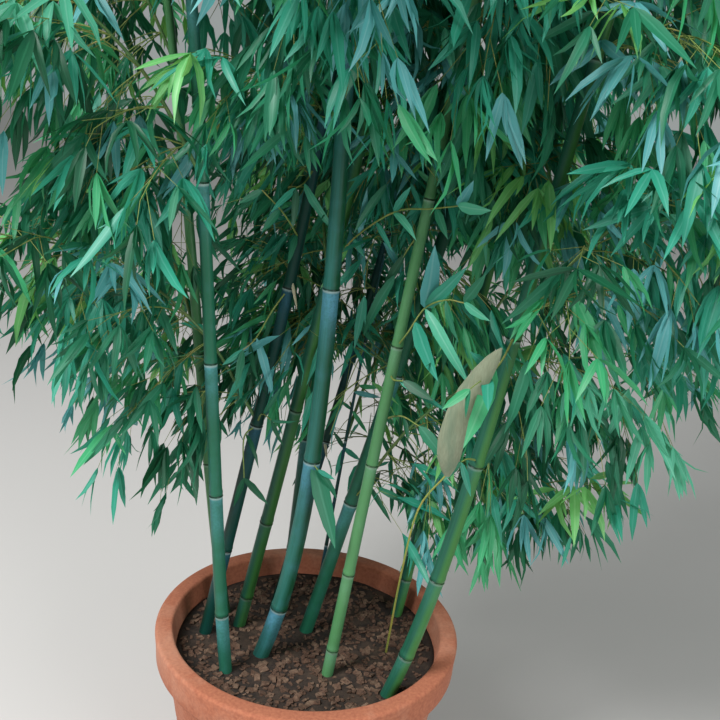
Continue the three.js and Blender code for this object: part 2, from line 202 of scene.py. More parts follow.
@dataclass(frozen=True)
class CaneSkin:
    """Living bamboo culm: smooth, waxy and satin, with pale powder under each joint."""

    name: str
    body: str
    shade: str
    # A side of the culm painted lighter or darker, as painted light and painted shade, and the heading in
    # degrees that this side faces
    side_light_and_shade: str
    side_light_and_shade_facing: float
    powder: str
    powder_share: float
    powder_reach: float

    # Powder in a ring under the joint, the sheath's brown scar on its edge, and the dark groove above
    RING = "#a9bcb8"
    SCAR = "#4a4234"
    GROOVE = "#0c1712"
    # Fibres run the length of the culm, drawn 2 mm wide and 120 mm long
    FIBRES_ROUND = 7.0
    FIBRES_ALONG = 0.012
    # Blotches of weather and powder lie about 40 mm apart, and the flecks that it is rubbed into about 4 mm
    BLOTCHES = 25.0
    FLECKS = 240.0
    POWDER_FADE = 1.7
    FIBRE_RELIEF = 0.6
    IOR = 1.45
    SPECULAR = 0.32

    def material(self) -> Material:
        """Makes the culm's material from the numbers that its mesh carries, which are in mm.

        Returns:
            The material.
        """
        made, tree = blank_material(f"bamboo_culm_{self.name}")
        around, along, below, above = (
            add_node(tree, "ShaderNodeAttribute", attribute_name=name).outputs["Fac" if i else "Vector"]
            for i, name in enumerate(("around", "along", "below", "above"))
        )
        x, y, _ = add_node(tree, "ShaderNodeSeparateXYZ", {0: around}).outputs
        axes = ((x, self.FIBRES_ROUND), (y, self.FIBRES_ROUND), (along, self.FIBRES_ALONG))
        scaled = {
            i: add_node(tree, "ShaderNodeMath", {0: axis, 1: scale}, operation="MULTIPLY")
            for i, (axis, scale) in enumerate(axes)
        }
        fibres = add_node(tree, "ShaderNodeCombineXYZ", scaled)
        place = add_node(tree, "ShaderNodeTexCoord").outputs
        # The side that faces this heading is painted lighter or darker: painted light and painted shade on
        # one side of the culm
        facing = {0: place["Normal"], 1: tuple(pointing(self.side_light_and_shade_facing, 0.0))}
        side = add_node(tree, "ShaderNodeVectorMath", facing, operation="DOT_PRODUCT")
        noises = (
            (fibres, 1.0, 4.0), (place["Object"], self.BLOTCHES, 5.0), (place["Object"], self.FLECKS, 3.0)
        )
        streaks, blotches, flecks = (
            add_node(tree, "ShaderNodeTexNoise", {"Vector": vector, "Scale": scale, "Detail": detail})
            for vector, scale, detail in noises
        )
        # What each share of the finish follows, from where to where, and the share at either end
        limits = {
            "streak": (streaks, 0.3, 0.7, 0.0, 1.0),
            "shade": (streaks, 0.3, 0.7, 0.0, 0.75),
            "side_light_and_shade": (side, 0.1, 0.7, 0.0, 0.9),
            "fade": (below, 0.0, self.powder_reach, 1.0, 0.0),
            "patchy": (blotches, 0.32, 0.62, 0.35 * self.powder_share, self.powder_share),
            "film": (blotches, 0.5, 0.75, 0.0, 0.22),
            "rubbed": (flecks, 0.36, 0.6, 0.72, 1.1),
            "ring": (below, 2.0, 6.0, 0.75 * self.powder_share, 0.0),
            "scar": (below, 0.6, 1.4, 0.8, 0.0),
            "groove": (above, 1.6, 3.4, 0.85, 0.0),
        }
        at = {key: add_node(tree, "ShaderNodeMapRange", dict(enumerate(row))) for key, row in limits.items()}
        film = add_node(tree, "ShaderNodeMath", {0: at["film"], 1: at["streak"]}, operation="MULTIPLY")
        powder = add_node(tree, "ShaderNodeMath", {0: at["fade"], 1: self.POWDER_FADE}, operation="POWER")
        for operation, other in (("MULTIPLY", at["patchy"]), ("MAXIMUM", film), ("MULTIPLY", at["rubbed"])):
            powder = add_node(tree, "ShaderNodeMath", {0: powder, 1: other}, operation=operation)
        colour = linear(self.body)
        for share, hue in (
            (at["shade"], self.shade), (at["side_light_and_shade"], self.side_light_and_shade), (powder, self.powder),
            (at["ring"], self.RING), (at["scar"], self.SCAR), (at["groove"], self.GROOVE),
        ):
            colour = add_node(tree, "ShaderNodeMix", {0: share, 6: colour, 7: linear(hue)}, data_type="RGBA")
        rough = add_node(tree, "ShaderNodeMapRange", {0: powder, 1: 0.0, 2: 0.8, 3: 0.36, 4: 0.78})
        relief = {"Height": streaks, "Strength": 0.25, "Distance": self.FIBRE_RELIEF * MM}
        surface = {"Base Color": colour, "Roughness": rough, "IOR": self.IOR}
        surface |= {"Specular IOR Level": self.SPECULAR, "Normal": add_node(tree, "ShaderNodeBump", relief)}
        face = add_node(tree, "ShaderNodeBsdfPrincipled", surface)
        add_node(tree, "ShaderNodeOutputMaterial", {"Surface": face})
        return made


@dataclass(frozen=True)
class GrainySkin:
    """A dull surface, grained in two colours and patched in a third: fired clay, bark, soil or dry sheath."""

    name: str
    body: str
    grain: str
    patch: str
    grain_size: float
    patch_size: float
    patch_share: float
    stretch: tuple[float, float, float] = (1.0, 1.0, 1.0)
    roughness: float = 0.9
    relief: float = 0.5
    thin: float = 0.0

    IOR = 1.5
    PATCH_ROUGHNESS = 0.62

    def material(self) -> Material:
        """Makes the material: grain and patches sized in mm, and a bump from the grain.

        Returns:
            The material.
        """
        made, tree = blank_material(self.name)
        place = {0: add_node(tree, "ShaderNodeTexCoord").outputs["Object"], "Scale": self.stretch}
        place = add_node(tree, "ShaderNodeMapping", place)
        noise = {"Vector": place, "Scale": 1 / (self.grain_size * MM), "Detail": 5.0}
        grain = add_node(tree, "ShaderNodeTexNoise", noise)
        noise |= {"Scale": 1 / (self.patch_size * MM), "Detail": 6.0, "Roughness": self.PATCH_ROUGHNESS}
        patch = add_node(tree, "ShaderNodeTexNoise", noise)
        colour = linear(self.body)
        for source, low, high, most, hue in (
            (grain, 0.35, 0.7, 1.0, self.grain), (patch, 0.48, 0.68, self.patch_share, self.patch)
        ):
            share = add_node(tree, "ShaderNodeMapRange", {0: source, 1: low, 2: high, 3: 0.0, 4: most})
            colour = add_node(tree, "ShaderNodeMix", {0: share, 6: colour, 7: linear(hue)}, data_type="RGBA")
        relief = {"Height": grain, "Strength": 0.6, "Distance": self.relief * MM}
        surface = {"Base Color": colour, "Roughness": self.roughness, "IOR": self.IOR}
        surface["Normal"] = add_node(tree, "ShaderNodeBump", relief)
        shader = add_node(tree, "ShaderNodeBsdfPrincipled", surface)
        if self.thin:
            through = add_node(tree, "ShaderNodeBsdfTranslucent", {"Color": linear(self.body)})
            shader = add_node(tree, "ShaderNodeMixShader", {0: self.thin, 1: shader, 2: through})
        add_node(tree, "ShaderNodeOutputMaterial", {"Surface": shader})
        return made


# Unglazed clay: dusty and warm, with salts that have dried on it in pale patches
TERRACOTTA = GrainySkin("terracotta", "#a9674b", "#93543d", "#c49a82", 6.0, 170.0, 0.4, relief=0.4)
# Potting mix: dark, damp and crumbly
POTTING_MIX = GrainySkin("potting_mix", "#2c2018", "#140e0a", "#4b3a2c", 7.0, 60.0, 0.6, relief=3.0)
# Chipped pine bark: dry, reddish brown and fibrous
BARK_CHIP = GrainySkin("bark_chip", "#5a4030", "#35241a", "#8c7460", 3.0, 25.0, 0.5, relief=0.8)
# Branch wood of the season: olive green and waxy, in patches of yellower olive
BRANCH_SKIN = GrainySkin(
    "branch_wood", "#55783e", "#3e6238", "#7c8048", 4.0, 45.0, 0.6, roughness=0.5, relief=0.2
)
# Thin twigs: yellower than the branches, dull
TWIG_SKIN = GrainySkin(
    "twig_wood", "#7d9046", "#62783c", "#a39456", 3.0, 40.0, 0.7, roughness=0.6, relief=0.1
)
# A shoot of this spring: smooth, between yellow and green
YOUNG_SKIN = GrainySkin(
    "young_shoot", "#98a04c", "#7f8e42", "#b39744", 4.0, 50.0, 0.7, roughness=0.5, relief=0.1
)
# Dry culm sheath: papery, greyish olive to straw, with long fibres
SHEATH_SKIN = GrainySkin(
    "culm_sheath", "#8b937b", "#7c8169", "#5f7560", 2.0, 26.0, 0.75,
    stretch=(1.0, 1.0, 0.12), roughness=0.8, relief=0.3, thin=0.15,
)
# Freshly dried sheath: cream and smooth
PALE_SHEATH_SKIN = GrainySkin(
    "pale_sheath", "#d3cdb0", "#b9b193", "#93897a", 2.0, 30.0, 0.4,
    stretch=(1.0, 1.0, 0.12), roughness=0.7, relief=0.2, thin=0.15,
)

LEAF_SKINS = (
    LeafSkin(Tint.DEEP, "#125238", "#2f7454", "#1f7440"),
    LeafSkin(Tint.SHADE, "#1e7052", "#469074", "#2f9460"),
    LeafSkin(Tint.TEAL, "#2b937a", "#62b4a0", "#3aac80"),
    LeafSkin(Tint.MID, "#379f6c", "#6cb88c", "#52b868"),
    LeafSkin(Tint.BLUE, "#54a3a6", "#88c0c0", "#4aa898"),
    LeafSkin(Tint.FRESH, "#62b368", "#9cd092", "#98d458"),
    LeafSkin(Tint.PALE, "#54b896", "#90d4bc", "#56c088"),
)


class Finish(Enum):
    """The culm colours."""

    NEAR_BLACK = "cane_near_black"
    DEEP_GREEN = "cane_deep_green"
    BLUE_GREEN = "cane_blue_green"
    OLIVE = "cane_olive"
    BRIGHT = "cane_bright"


# Each culm colour: body, streaks, a side painted lighter or darker as painted light and shade with the
# heading it faces, then the powder's colour, share and reach in mm
CANE_SKINS = {
    Finish.NEAR_BLACK: CaneSkin("near_black", "#08362a", "#041c16", "#0e3c34", 300.0, "#2a5c74", 0.7, 150.0),
    Finish.DEEP_GREEN: CaneSkin("deep_green", "#175540", "#0c3a2b", "#216048", 300.0, "#5496a0", 0.85, 130.0),
    Finish.BLUE_GREEN: CaneSkin("blue_green", "#2b6a62", "#1d5244", "#0f4226", 350.0, "#5b98b6", 0.88, 140.0),
    Finish.OLIVE: CaneSkin("olive", "#1f5944", "#174538", "#3a7034", 330.0, "#4a8a7c", 0.35, 90.0),
    Finish.BRIGHT: CaneSkin("bright", "#3e754e", "#306243", "#4d8152", 260.0, "#7cab92", 0.35, 70.0),
}


@dataclass(frozen=True)
class Path:
    """A line through evenly spaced points, in mm."""

    points: Array

    def at(self, share: float) -> tuple[Array, Array]:
        """Finds a place on the line, or on its ends carried on.

        Args:
            share: how far along, from 0 to 1.

        Returns:
            The place and the line's direction there.
        """
        along = share * (len(self.points) - 1)
        i = min(max(math.floor(along), 0), len(self.points) - 2)
        step = self.points[i + 1] - self.points[i]
        return self.points[i] + step * (along - i), step / np.linalg.norm(step)

    def nearest(self, probe: Array) -> Array:
        """Finds the place on the line that is nearest to a probe.

        Args:
            probe: a place in mm.

        Returns:
            The place on the line.
        """
        start, step = self.points[:-1], np.diff(self.points, axis=0)
        share = np.clip(((probe - start) * step).sum(-1) / (step * step).sum(-1), 0, 1)
        places = start + share[:, None] * step
        return places[np.linalg.norm(places - probe, axis=1).argmin()]

    def distance(self, probes: Array) -> Array:
        """Measures how far probes are from the line.

        Args:
            probes: places in mm, one in each row.

        Returns:
            The least distance of each.
        """
        start, step = self.points[:-1], np.diff(self.points, axis=0)
        offset = probes[:, None, :] - start
        share = np.clip((offset * step).sum(-1) / (step * step).sum(-1), 0, 1)
        return np.sqrt(((offset - share[..., None] * step) ** 2).sum(-1).min(1))

    def smooth(self, shares: Array) -> Array:
        """Rounds the line's corners, through its own points.

        Args:
            shares: how far along each wanted point is, from 0 to 1.

        Returns:
            The points in mm.
        """
        knots = self.points
        ahead = np.vstack([knots[1] - knots[0], (knots[2:] - knots[:-2]) / 2, knots[-1] - knots[-2]])
        at = np.clip(shares * (len(knots) - 1), 0, len(knots) - 1 - 1e-9)
        i = np.floor(at).astype(int)
        t = (at - i)[:, None]
        return (
            knots[i] * (2 * t**3 - 3 * t**2 + 1)
            + ahead[i] * (t**3 - 2 * t**2 + t)
            + knots[i + 1] * (3 * t**2 - 2 * t**3)
            + ahead[i + 1] * (t**3 - t**2)
        )


@dataclass(frozen=True)
class Cane:
    """One cane as the part's source gives it: in mm, with angles in degrees and lean as travel per rise."""

    name: str
    foot: Pair
    lean: Pair
    bow: Pair
    nod: Pair
    length: float
    diameter: float
    joint: float
    internode: float
    faces: float
    leafy: float
    finish: Finish

    SOIL = 405.0
    STEPS = 60
    BOW_HEIGHT = 350.0
    NOD_POWER = 2.5
    TAPER_POWER = 1.5
    TIP_RADIUS = 1.3
    LONGEST_AT = 0.2
    SHARE_AT_FOOT = 0.42
    SHARE_AT_TIP = 0.4
    SHORTEST = 0.3

    def path(self) -> Path:
        """Runs the centreline from the soil to the tip, one point for each equal step.

        Returns:
            The centreline.
        """
        points = [np.array([*self.foot, self.SOIL])]
        for i in range(self.STEPS):
            share = (i + 0.5) / self.STEPS
            sideways = [
                self.lean[k] * (1 - share * share)
                + self.bow[k] * math.exp(-share * self.length / self.BOW_HEIGHT)
                + self.nod[k] * share**self.NOD_POWER
                for k in (0, 1)
            ]
            points.append(points[-1] + unit(np.array([*sideways, 1.0])) * (self.length / self.STEPS))
        return Path(np.array(points))

    def radius(self, length: float) -> float:
        """The radius at a length up the cane."""
        share = min(max(length / self.length, 0.0), 1.0)
        return max(self.TIP_RADIUS, self.diameter / 2 * (1 - share**self.TAPER_POWER))

    def internode_share(self, share: float) -> float:
        """Says how long an internode is beside the longest.

        Args:
            share: how far up the cane it is, from 0 to 1.

        Returns:
            Its share of the longest one's length.
        """
        if share < self.LONGEST_AT:
            return mix(self.SHARE_AT_FOOT, 1.0, share / self.LONGEST_AT)
        return mix(1.0, self.SHARE_AT_TIP, (share - self.LONGEST_AT) / (1 - self.LONGEST_AT))

    def joints(self) -> list[float]:
        """Works out the joints both ways from the one that is known.

        Returns:
            Their lengths up the cane, upwards.
        """
        longest = self.internode / self.internode_share(self.joint / self.length)
        shortest = longest * self.SHORTEST
        found, length = [self.joint], self.joint
        while length < self.length - shortest:
            length += longest * self.internode_share(length / self.length)
            if length < self.length - shortest:
                found.append(length)
        length = self.joint
        while length > shortest:
            length -= longest * self.internode_share(length / self.length)
            if length > shortest / 2:
                found.insert(0, length)
        return found


CANES = (
    Cane("left", (-213, 0), (0.182, 0), (0, 0), (-0.45, -0.1), 3050, 25, 478, 280, 195, 740,
         Finish.NEAR_BLACK),
    Cane("olive", (-147, 40), (0.184, -0.08), (0, 0), (-0.2, 0.2), 2900, 26, 518, 259, 140, 1000,
         Finish.OLIVE),
    Cane("centre", (-88, -60), (-0.025, -0.05), (0.35, 0), (-0.1, -0.35), 3450, 32, 450, 333, 255, 1300,
         Finish.BLUE_GREEN),
    Cane("dark", (-82, 130), (0.219, 0.03), (0, 0), (-0.1, 0.45), 2600, 18, 401, 218, 95, 780,
         Finish.NEAR_BLACK),
    Cane("bright", (50, -100), (0.107, 0), (0, 0), (0.3, -0.4), 3000, 23, 454, 231, 290, 1000,
         Finish.BRIGHT),
    Cane("shaded", (-4, 40), (0.236, 0.02), (0, 0), (0.25, 0.1), 3250, 28, 308, 288, 10, 590,
         Finish.DEEP_GREEN),
    Cane("outer", (170, -150), (0.103, -0.03), (0.22, 0), (0.35, -0.35), 2700, 28, 508, 240, 325, 500,
         Finish.OLIVE),
    Cane("slender", (7, 82), (0.09, 0.02), (0, 0), (0.25, -0.2), 1250, 8, 300, 120, 60, 560,
         Finish.NEAR_BLACK),
    Cane("front_left", (-150, -120), (-0.05, -0.03), (-0.05, 0), (-0.45, -0.25), 2850, 25, 380, 255, 225,
         1150, Finish.DEEP_GREEN),
    Cane("far_left", (-185, 80), (-0.1, 0.06), (-0.08, 0), (-0.5, 0.1), 2650, 23, 340, 235, 165, 560,
         Finish.BRIGHT),
    Cane("back", (-60, 190), (0.045, 0.1), (0, 0), (-0.3, 0.5), 3150, 26, 360, 265, 110, 760,
         Finish.DEEP_GREEN),
    Cane("back_right", (190, 130), (0.15, 0.08), (0, 0), (0.35, 0.35), 2950, 25, 330, 245, 45, 400,
         Finish.OLIVE),
)


@dataclass(frozen=True)
class Stem:
    """The stem of one leafy branch."""

    name: str
    path: Path


@dataclass
class Clump:
    """Where the canes and their leafy branches run, by the rule of the part's source."""

    canes: tuple[Cane, ...] = CANES
    side_branches: int = 3
    slender_side_branches: int = 1
    last_branch_share: float = 0.84
    shortest_cane_share: float = 0.62
    longest_cane: float = 3450.0
    stem_lengths: Pair = (700.0, 440.0)
    tip_stem_length: float = 360.0
    stem_rise: float = 64.0
    stem_droop: float = -4.0
    tip_stem_droop: float = 5.0
    bend_power: float = 1.4
    segments: int = 3
    turns: tuple[int, ...] = (45, 30, 60, 15, 75, 0, 90, -15, 105, -30, -45, -60, -75, -90)
    joint_choice: float = 300.0
    probes: int = 24
    clearance: float = 40.0
    room: float = 400.0
    outward_favour: float = 0.35
    root_offset: float = 7.0
    gap: float = 0.3
    reach: float = 420.0
    between_branches: float = 9.0
    lowest_leaf: float = 560.0
    # The cosine of the furthest that a cane leans, which turns a level distance into the true one
    least_upright: float = 0.87
    paths: dict[str, Path] = field(init=False)
    stems: list[Stem] = field(default_factory=list)

    def __post_init__(self) -> None:
        """Runs the canes' centrelines, then the branches of each cane in turn."""
        self.paths = {cane.name: cane.path() for cane in self.canes}
        for cane in self.canes:
            self.add_stems(cane)

    def stem_line(self, root: Array, heading: float, length: float, rise: float, droop: float) -> Path:
        """Runs a stem, which leaves its cane at a rise and bends over to a droop.

        Args:
            root: where it leaves its cane, in mm.
            heading: degrees from +X.
            length: its length in mm.
            rise: degrees above the horizon at its root.
            droop: degrees above the horizon at its tip.

        Returns:
            Its centreline.
        """
        points = [root]
        for i in range(self.segments):
            lift = mix(rise, droop, ((i + 0.5) / self.segments) ** self.bend_power)
            points.append(points[-1] + pointing(heading, lift) * length / self.segments)
        return Path(np.array(points))

    def room_for(self, owner: str, line: Path) -> float:
        """Measures how much room a stem has: its outer half's least distance to the stems there.

        Args:
            owner: the cane that it grows on.
            line: where it would run.

        Returns:
            Its room, or none if it meets a cane or a stem.
        """
        probes = np.array([line.at(i / self.probes)[0] for i in range(1, self.probes + 1)])
        gaps = [stem.path.distance(probes) for stem in self.stems]
        if any(gap.min() < self.clearance for gap in gaps):
            return 0.0
        others = (path for name, path in self.paths.items() if name != owner)
        if any(path.distance(probes).min() < self.clearance for path in others):
            return 0.0
        return min([self.room, *(gap[self.probes // 2 :].min() for gap in gaps)])

    def add_stems(self, cane: Cane) -> None:
        """Adds a cane's leafy branches: one at each chosen joint, turned until clear, and one on its tip.

        Args:
            cane: the cane.
        """
        size = mix(self.shortest_cane_share, 1.0, cane.length / self.longest_cane)
        path = self.paths[cane.name]
        count = self.slender_side_branches if cane.name == "slender" else self.side_branches
        for k in range(count):
            share = k / (count - 1) if count > 1 else 0.0
            target = mix(cane.leafy, cane.length * self.last_branch_share, share)
            best_room, best = -1.0, None
            for joint in (j for j in cane.joints() if abs(j - target) < self.joint_choice):
                length = mix(*self.stem_lengths, joint / cane.length) * size
                root = path.at((joint + self.root_offset) / cane.length)[0]
                for turn in self.turns:
                    heading = cane.faces + (-turn if k % 2 else turn)
                    line = self.stem_line(root, heading, length, self.stem_rise, self.stem_droop)
                    favour = 1 + self.outward_favour * math.cos(math.radians(turn))
                    room = self.room_for(cane.name, line) * favour
                    if room > best_room:
                        best_room, best = room, Stem(f"leaves_{cane.name}_{k + 1}", line)
            self.stems.append(best)
        root, way = path.at((cane.length + self.gap) / cane.length)
        heading = math.degrees(math.atan2(way[1], way[0]))
        rise = math.degrees(math.asin(way[2]))
        line = self.stem_line(root, heading, self.tip_stem_length * size, rise, self.tip_stem_droop)
        self.stems.append(Stem(f"leaves_{cane.name}_{count + 1}", line))

    def stem_distances(self, probes: Array) -> Array:
        """Each probe's distance to each stem, one row for each probe."""
        return np.stack([stem.path.distance(probes) for stem in self.stems], axis=1)

    def clear_of_every_cane(self, probes: Array, margin: float) -> Array:
        """Finds the probes that are off every cane.

        Args:
            probes: places in mm, one in each row.
            margin: how far off a cane's surface they have to be.

        Returns:
            True for each probe that is.
        """
        gaps = []
        for cane in self.canes:
            x, y, z = self.paths[cane.name].points.T
            across, along = (np.interp(probes[:, 2], z, axis) for axis in (x, y))
            level = np.hypot(across - probes[:, 0], along - probes[:, 1])
            gaps.append(level * self.least_upright - cane.diameter / 2)
        return np.min(gaps, axis=0) > margin


@dataclass
class Strand:
    """One limb to be skinned: points in mm, a radius at each, and other numbers that its finish reads."""

    points: Array
    radii: Array
    marks: dict[str, Array] = field(default_factory=dict)


def tapered(lines: list[Array] | Array, radii: Pair) -> list[Strand]:
    """Lines as limbs that taper evenly from one radius to the other."""
    return [Strand(line, np.linspace(*radii, len(line))) for line in lines]


def strand_mesh(strands: list[Strand]) -> Mesh:
    """Lays strands out as one mesh of edges that carries their numbers as attributes.

    Args:
        strands: the limbs, all with the same marks.

    Returns:
        A mesh in metres with no faces.
    """
    points = np.concatenate([s.points for s in strands]) * MM
    ends = np.cumsum([len(s.points) for s in strands])
    starts = np.setdiff1d(np.arange(len(points) - 1), ends - 1)
    mesh = bpy.data.meshes.new("strands")
    mesh.from_pydata(points, np.stack([starts, starts + 1], axis=1), [])
    marks = {"thickness": np.concatenate([s.radii for s in strands]) * MM}
    marks |= {key: np.concatenate([s.marks[key] for s in strands]) for key in strands[0].marks}
    for key, values in marks.items():
        mesh.attributes.new(key, "FLOAT", "POINT").data.foreach_set("value", values.astype(np.float32))
    return mesh


def point_mesh(points: Array, turns: Array, sizes: Array, shapes: Array) -> Mesh:
    """Lays out points for the tree that places shapes.

    Args:
        points: places in mm.
        turns: an Euler turn for each, in radians.
        sizes: the length of each shape in mm.
        shapes: which shape goes on each.

    Returns:
        A mesh of loose points in metres.
    """
    mesh = bpy.data.meshes.new("points")
    mesh.from_pydata(points * MM, [], [])
    for key, kind, part, values in (
        ("turn", "FLOAT_VECTOR", "vector", turns.astype(np.float32)),
        ("size", "FLOAT", "value", (sizes * MM).astype(np.float32)),
        ("shape", "INT", "value", shapes.astype(np.int32)),
    ):
        mesh.attributes.new(key, kind, "POINT").data.foreach_set(part, values.ravel())
    return mesh


def open_tree(name: str, **kinds: str) -> tuple[NodeTree, Node]:
    """Starts a geometry tree, which takes the geometry, inputs of its own, and a finish.

    Args:
        name: the tree's name.
        kinds: the inputs of its own, each with its kind of socket.

    Returns:
        The tree and the node of its inputs.
    """
    tree = bpy.data.node_groups.new(name, "GeometryNodeTree")
    for label, kind in {"Geometry": "Geometry", **kinds, "Finish": "Material"}.items():
        tree.interface.new_socket(label, in_out="INPUT", socket_type=f"NodeSocket{kind}")
    tree.interface.new_socket("Geometry", in_out="OUTPUT", socket_type="NodeSocketGeometry")
    return tree, add_node(tree, "NodeGroupInput")


def close_tree(tree: NodeTree, given: Node, last: Node) -> NodeTree:
    """Ends a geometry tree: makes instances real and sets the finish.

    Args:
        tree: the tree.
        given: the node of its inputs.
        last: the node that gives its shape.

    Returns:
        The finished tree.
    """
    real = add_node(tree, "GeometryNodeRealizeInstances", {0: last})
    done = add_node(tree, "GeometryNodeSetMaterial", {0: real, "Material": given.outputs["Finish"]})
    add_node(tree, "NodeGroupOutput", {0: done})
    return tree


@cache
def limb_tree() -> NodeTree:
    """Makes the tree that skins strands: a round section swept along each, as thick as its attribute says.

    Returns:
        The node tree.
    """
    tree, given = open_tree("skin_limbs", Sides="Int")
    curve = add_node(tree, "GeometryNodeMeshToCurve", {0: given.outputs["Geometry"]})
    ring = {"Resolution": given.outputs["Sides"], "Radius": 1.0}
    ring = add_node(tree, "GeometryNodeCurvePrimitiveCircle", ring)
    around = {0: ring, "Name": "around", "Value": add_node(tree, "GeometryNodeInputPosition")}
    kind = {"data_type": "FLOAT_VECTOR", "domain": "POINT"}
    around = add_node(tree, "GeometryNodeStoreNamedAttribute", around, **kind)
    thickness = add_node(tree, "GeometryNodeInputNamedAttribute", {"Name": "thickness"}, data_type="FLOAT")
    swept = {"Curve": curve, "Profile Curve": around, "Scale": thickness, "Fill Caps": True}
    swept = add_node(tree, "GeometryNodeCurveToMesh", swept)
    smooth = add_node(tree, "GeometryNodeSetShadeSmooth", {0: swept, "Shade Smooth": True})
    return close_tree(tree, given, smooth)


@cache
def scatter_tree() -> NodeTree:
    """Makes the tree that puts a shape on each point, chosen, turned and sized by the point's attributes.

    Returns:
        The node tree.
    """
    tree, given = open_tree("place_shapes", Shapes="Collection")
    shapes = {"Collection": given.outputs["Shapes"], "Separate Children": True, "Reset Children": True}
    shapes = add_node(tree, "GeometryNodeCollectionInfo", shapes)
    turn, size, which = (
        add_node(tree, "GeometryNodeInputNamedAttribute", {"Name": name}, data_type=kind)
        for name, kind in (("turn", "FLOAT_VECTOR"), ("size", "FLOAT"), ("shape", "INT"))
    )
    placed = {"Points": given.outputs["Geometry"], "Instance": shapes, "Pick Instance": True}
    placed |= {"Instance Index": which, "Rotation": turn, "Scale": size}
    return close_tree(tree, given, add_node(tree, "GeometryNodeInstanceOnPoints", placed))


def placed_piece(name: str, mesh: Mesh) -> Object:
    """Puts a mesh into the scene as a piece at the origin.

    Args:
        name: the piece's name.
        mesh: its mesh.

    Returns:
        The piece.
    """
    piece = bpy.data.objects.new(name, mesh)
    bpy.context.scene.collection.objects.link(piece)
    return piece


def grown(name: str, base: Mesh, tree: NodeTree, **inputs: object) -> Object:
    """Runs a node tree on a mesh and keeps the result as a plain piece.

    Args:
        name: the piece's name.
        base: the mesh that the tree starts from.
        tree: the node tree.
        inputs: the tree's inputs, by the names that it gives them.

    Returns:
        A piece at the origin with no modifier.
    """
    carrier = placed_piece(f"{name}_base", base)
    modifier = carrier.modifiers.new("Grow", "NODES")
    modifier.node_group = tree
    for socket in tree.interface.items_tree:
        if socket.in_out == "INPUT" and socket.name in inputs:
            modifier[socket.identifier] = inputs[socket.name]
    mesh = bpy.data.meshes.new_from_object(carrier.evaluated_get(bpy.context.evaluated_depsgraph_get()))
    mesh.name = name
    bpy.data.objects.remove(carrier)
    return placed_piece(name, mesh)


def settle(piece: Object, nodes: list[str]) -> None:
    """Ties a finished piece to the frame and reports it.

    Args:
        piece: the piece.
        nodes: the CAD nodes that it stands for.
    """
    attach(piece, "root")
    if nodes:
        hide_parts(*nodes)
    LOG.info("%s: %d faces", piece.name, len(piece.data.polygons))


def face_mesh(name: str, points: Array, faces: list[tuple[int, ...]], smooth: bool = True) -> Mesh:
    """Makes a mesh of faces.

    Args:
        name: the mesh's name.
        points: its corners in mm.
        faces: the corners' numbers, face by face.
        smooth: whether its faces are shaded smooth.

    Returns:
        The mesh in metres.
    """
    mesh = bpy.data.meshes.new(name)
    mesh.from_pydata(np.asarray(points) * MM, [], faces)
    mesh.polygons.foreach_set("use_smooth", [smooth] * len(mesh.polygons))
    return mesh


def lathe(name: str, profile: list[Pair], sides: int) -> Mesh:
    """Turns a closed mesh about the Z axis.

    Args:
        name: the mesh's name.
        profile: radius and height pairs in mm, from the axis below round to the axis above.
        sides: how many sides it has.

    Returns:
        The mesh, with its faces pointing outwards.
    """
    angles = np.arange(sides) * 2 * math.pi / sides
    rings = profile[1:-1]
    points = [(r * math.cos(a), r * math.sin(a), z) for r, z in rings for a in angles]
    points += [(0.0, 0.0, profile[0][1]), (0.0, 0.0, profile[-1][1])]
    low, high = len(points) - 2, len(points) - 1
    faces = []
    for i in range(sides):
        j = (i + 1) % sides
        faces.append((low, j, i))
        for k in range(len(rings) - 1):
            a, b = k * sides, (k + 1) * sides
            faces.append((a + i, a + j, b + j, b + i))
        top = (len(rings) - 1) * sides
        faces.append((top + i, top + j, high))
    return face_mesh(name, np.array(points), faces)


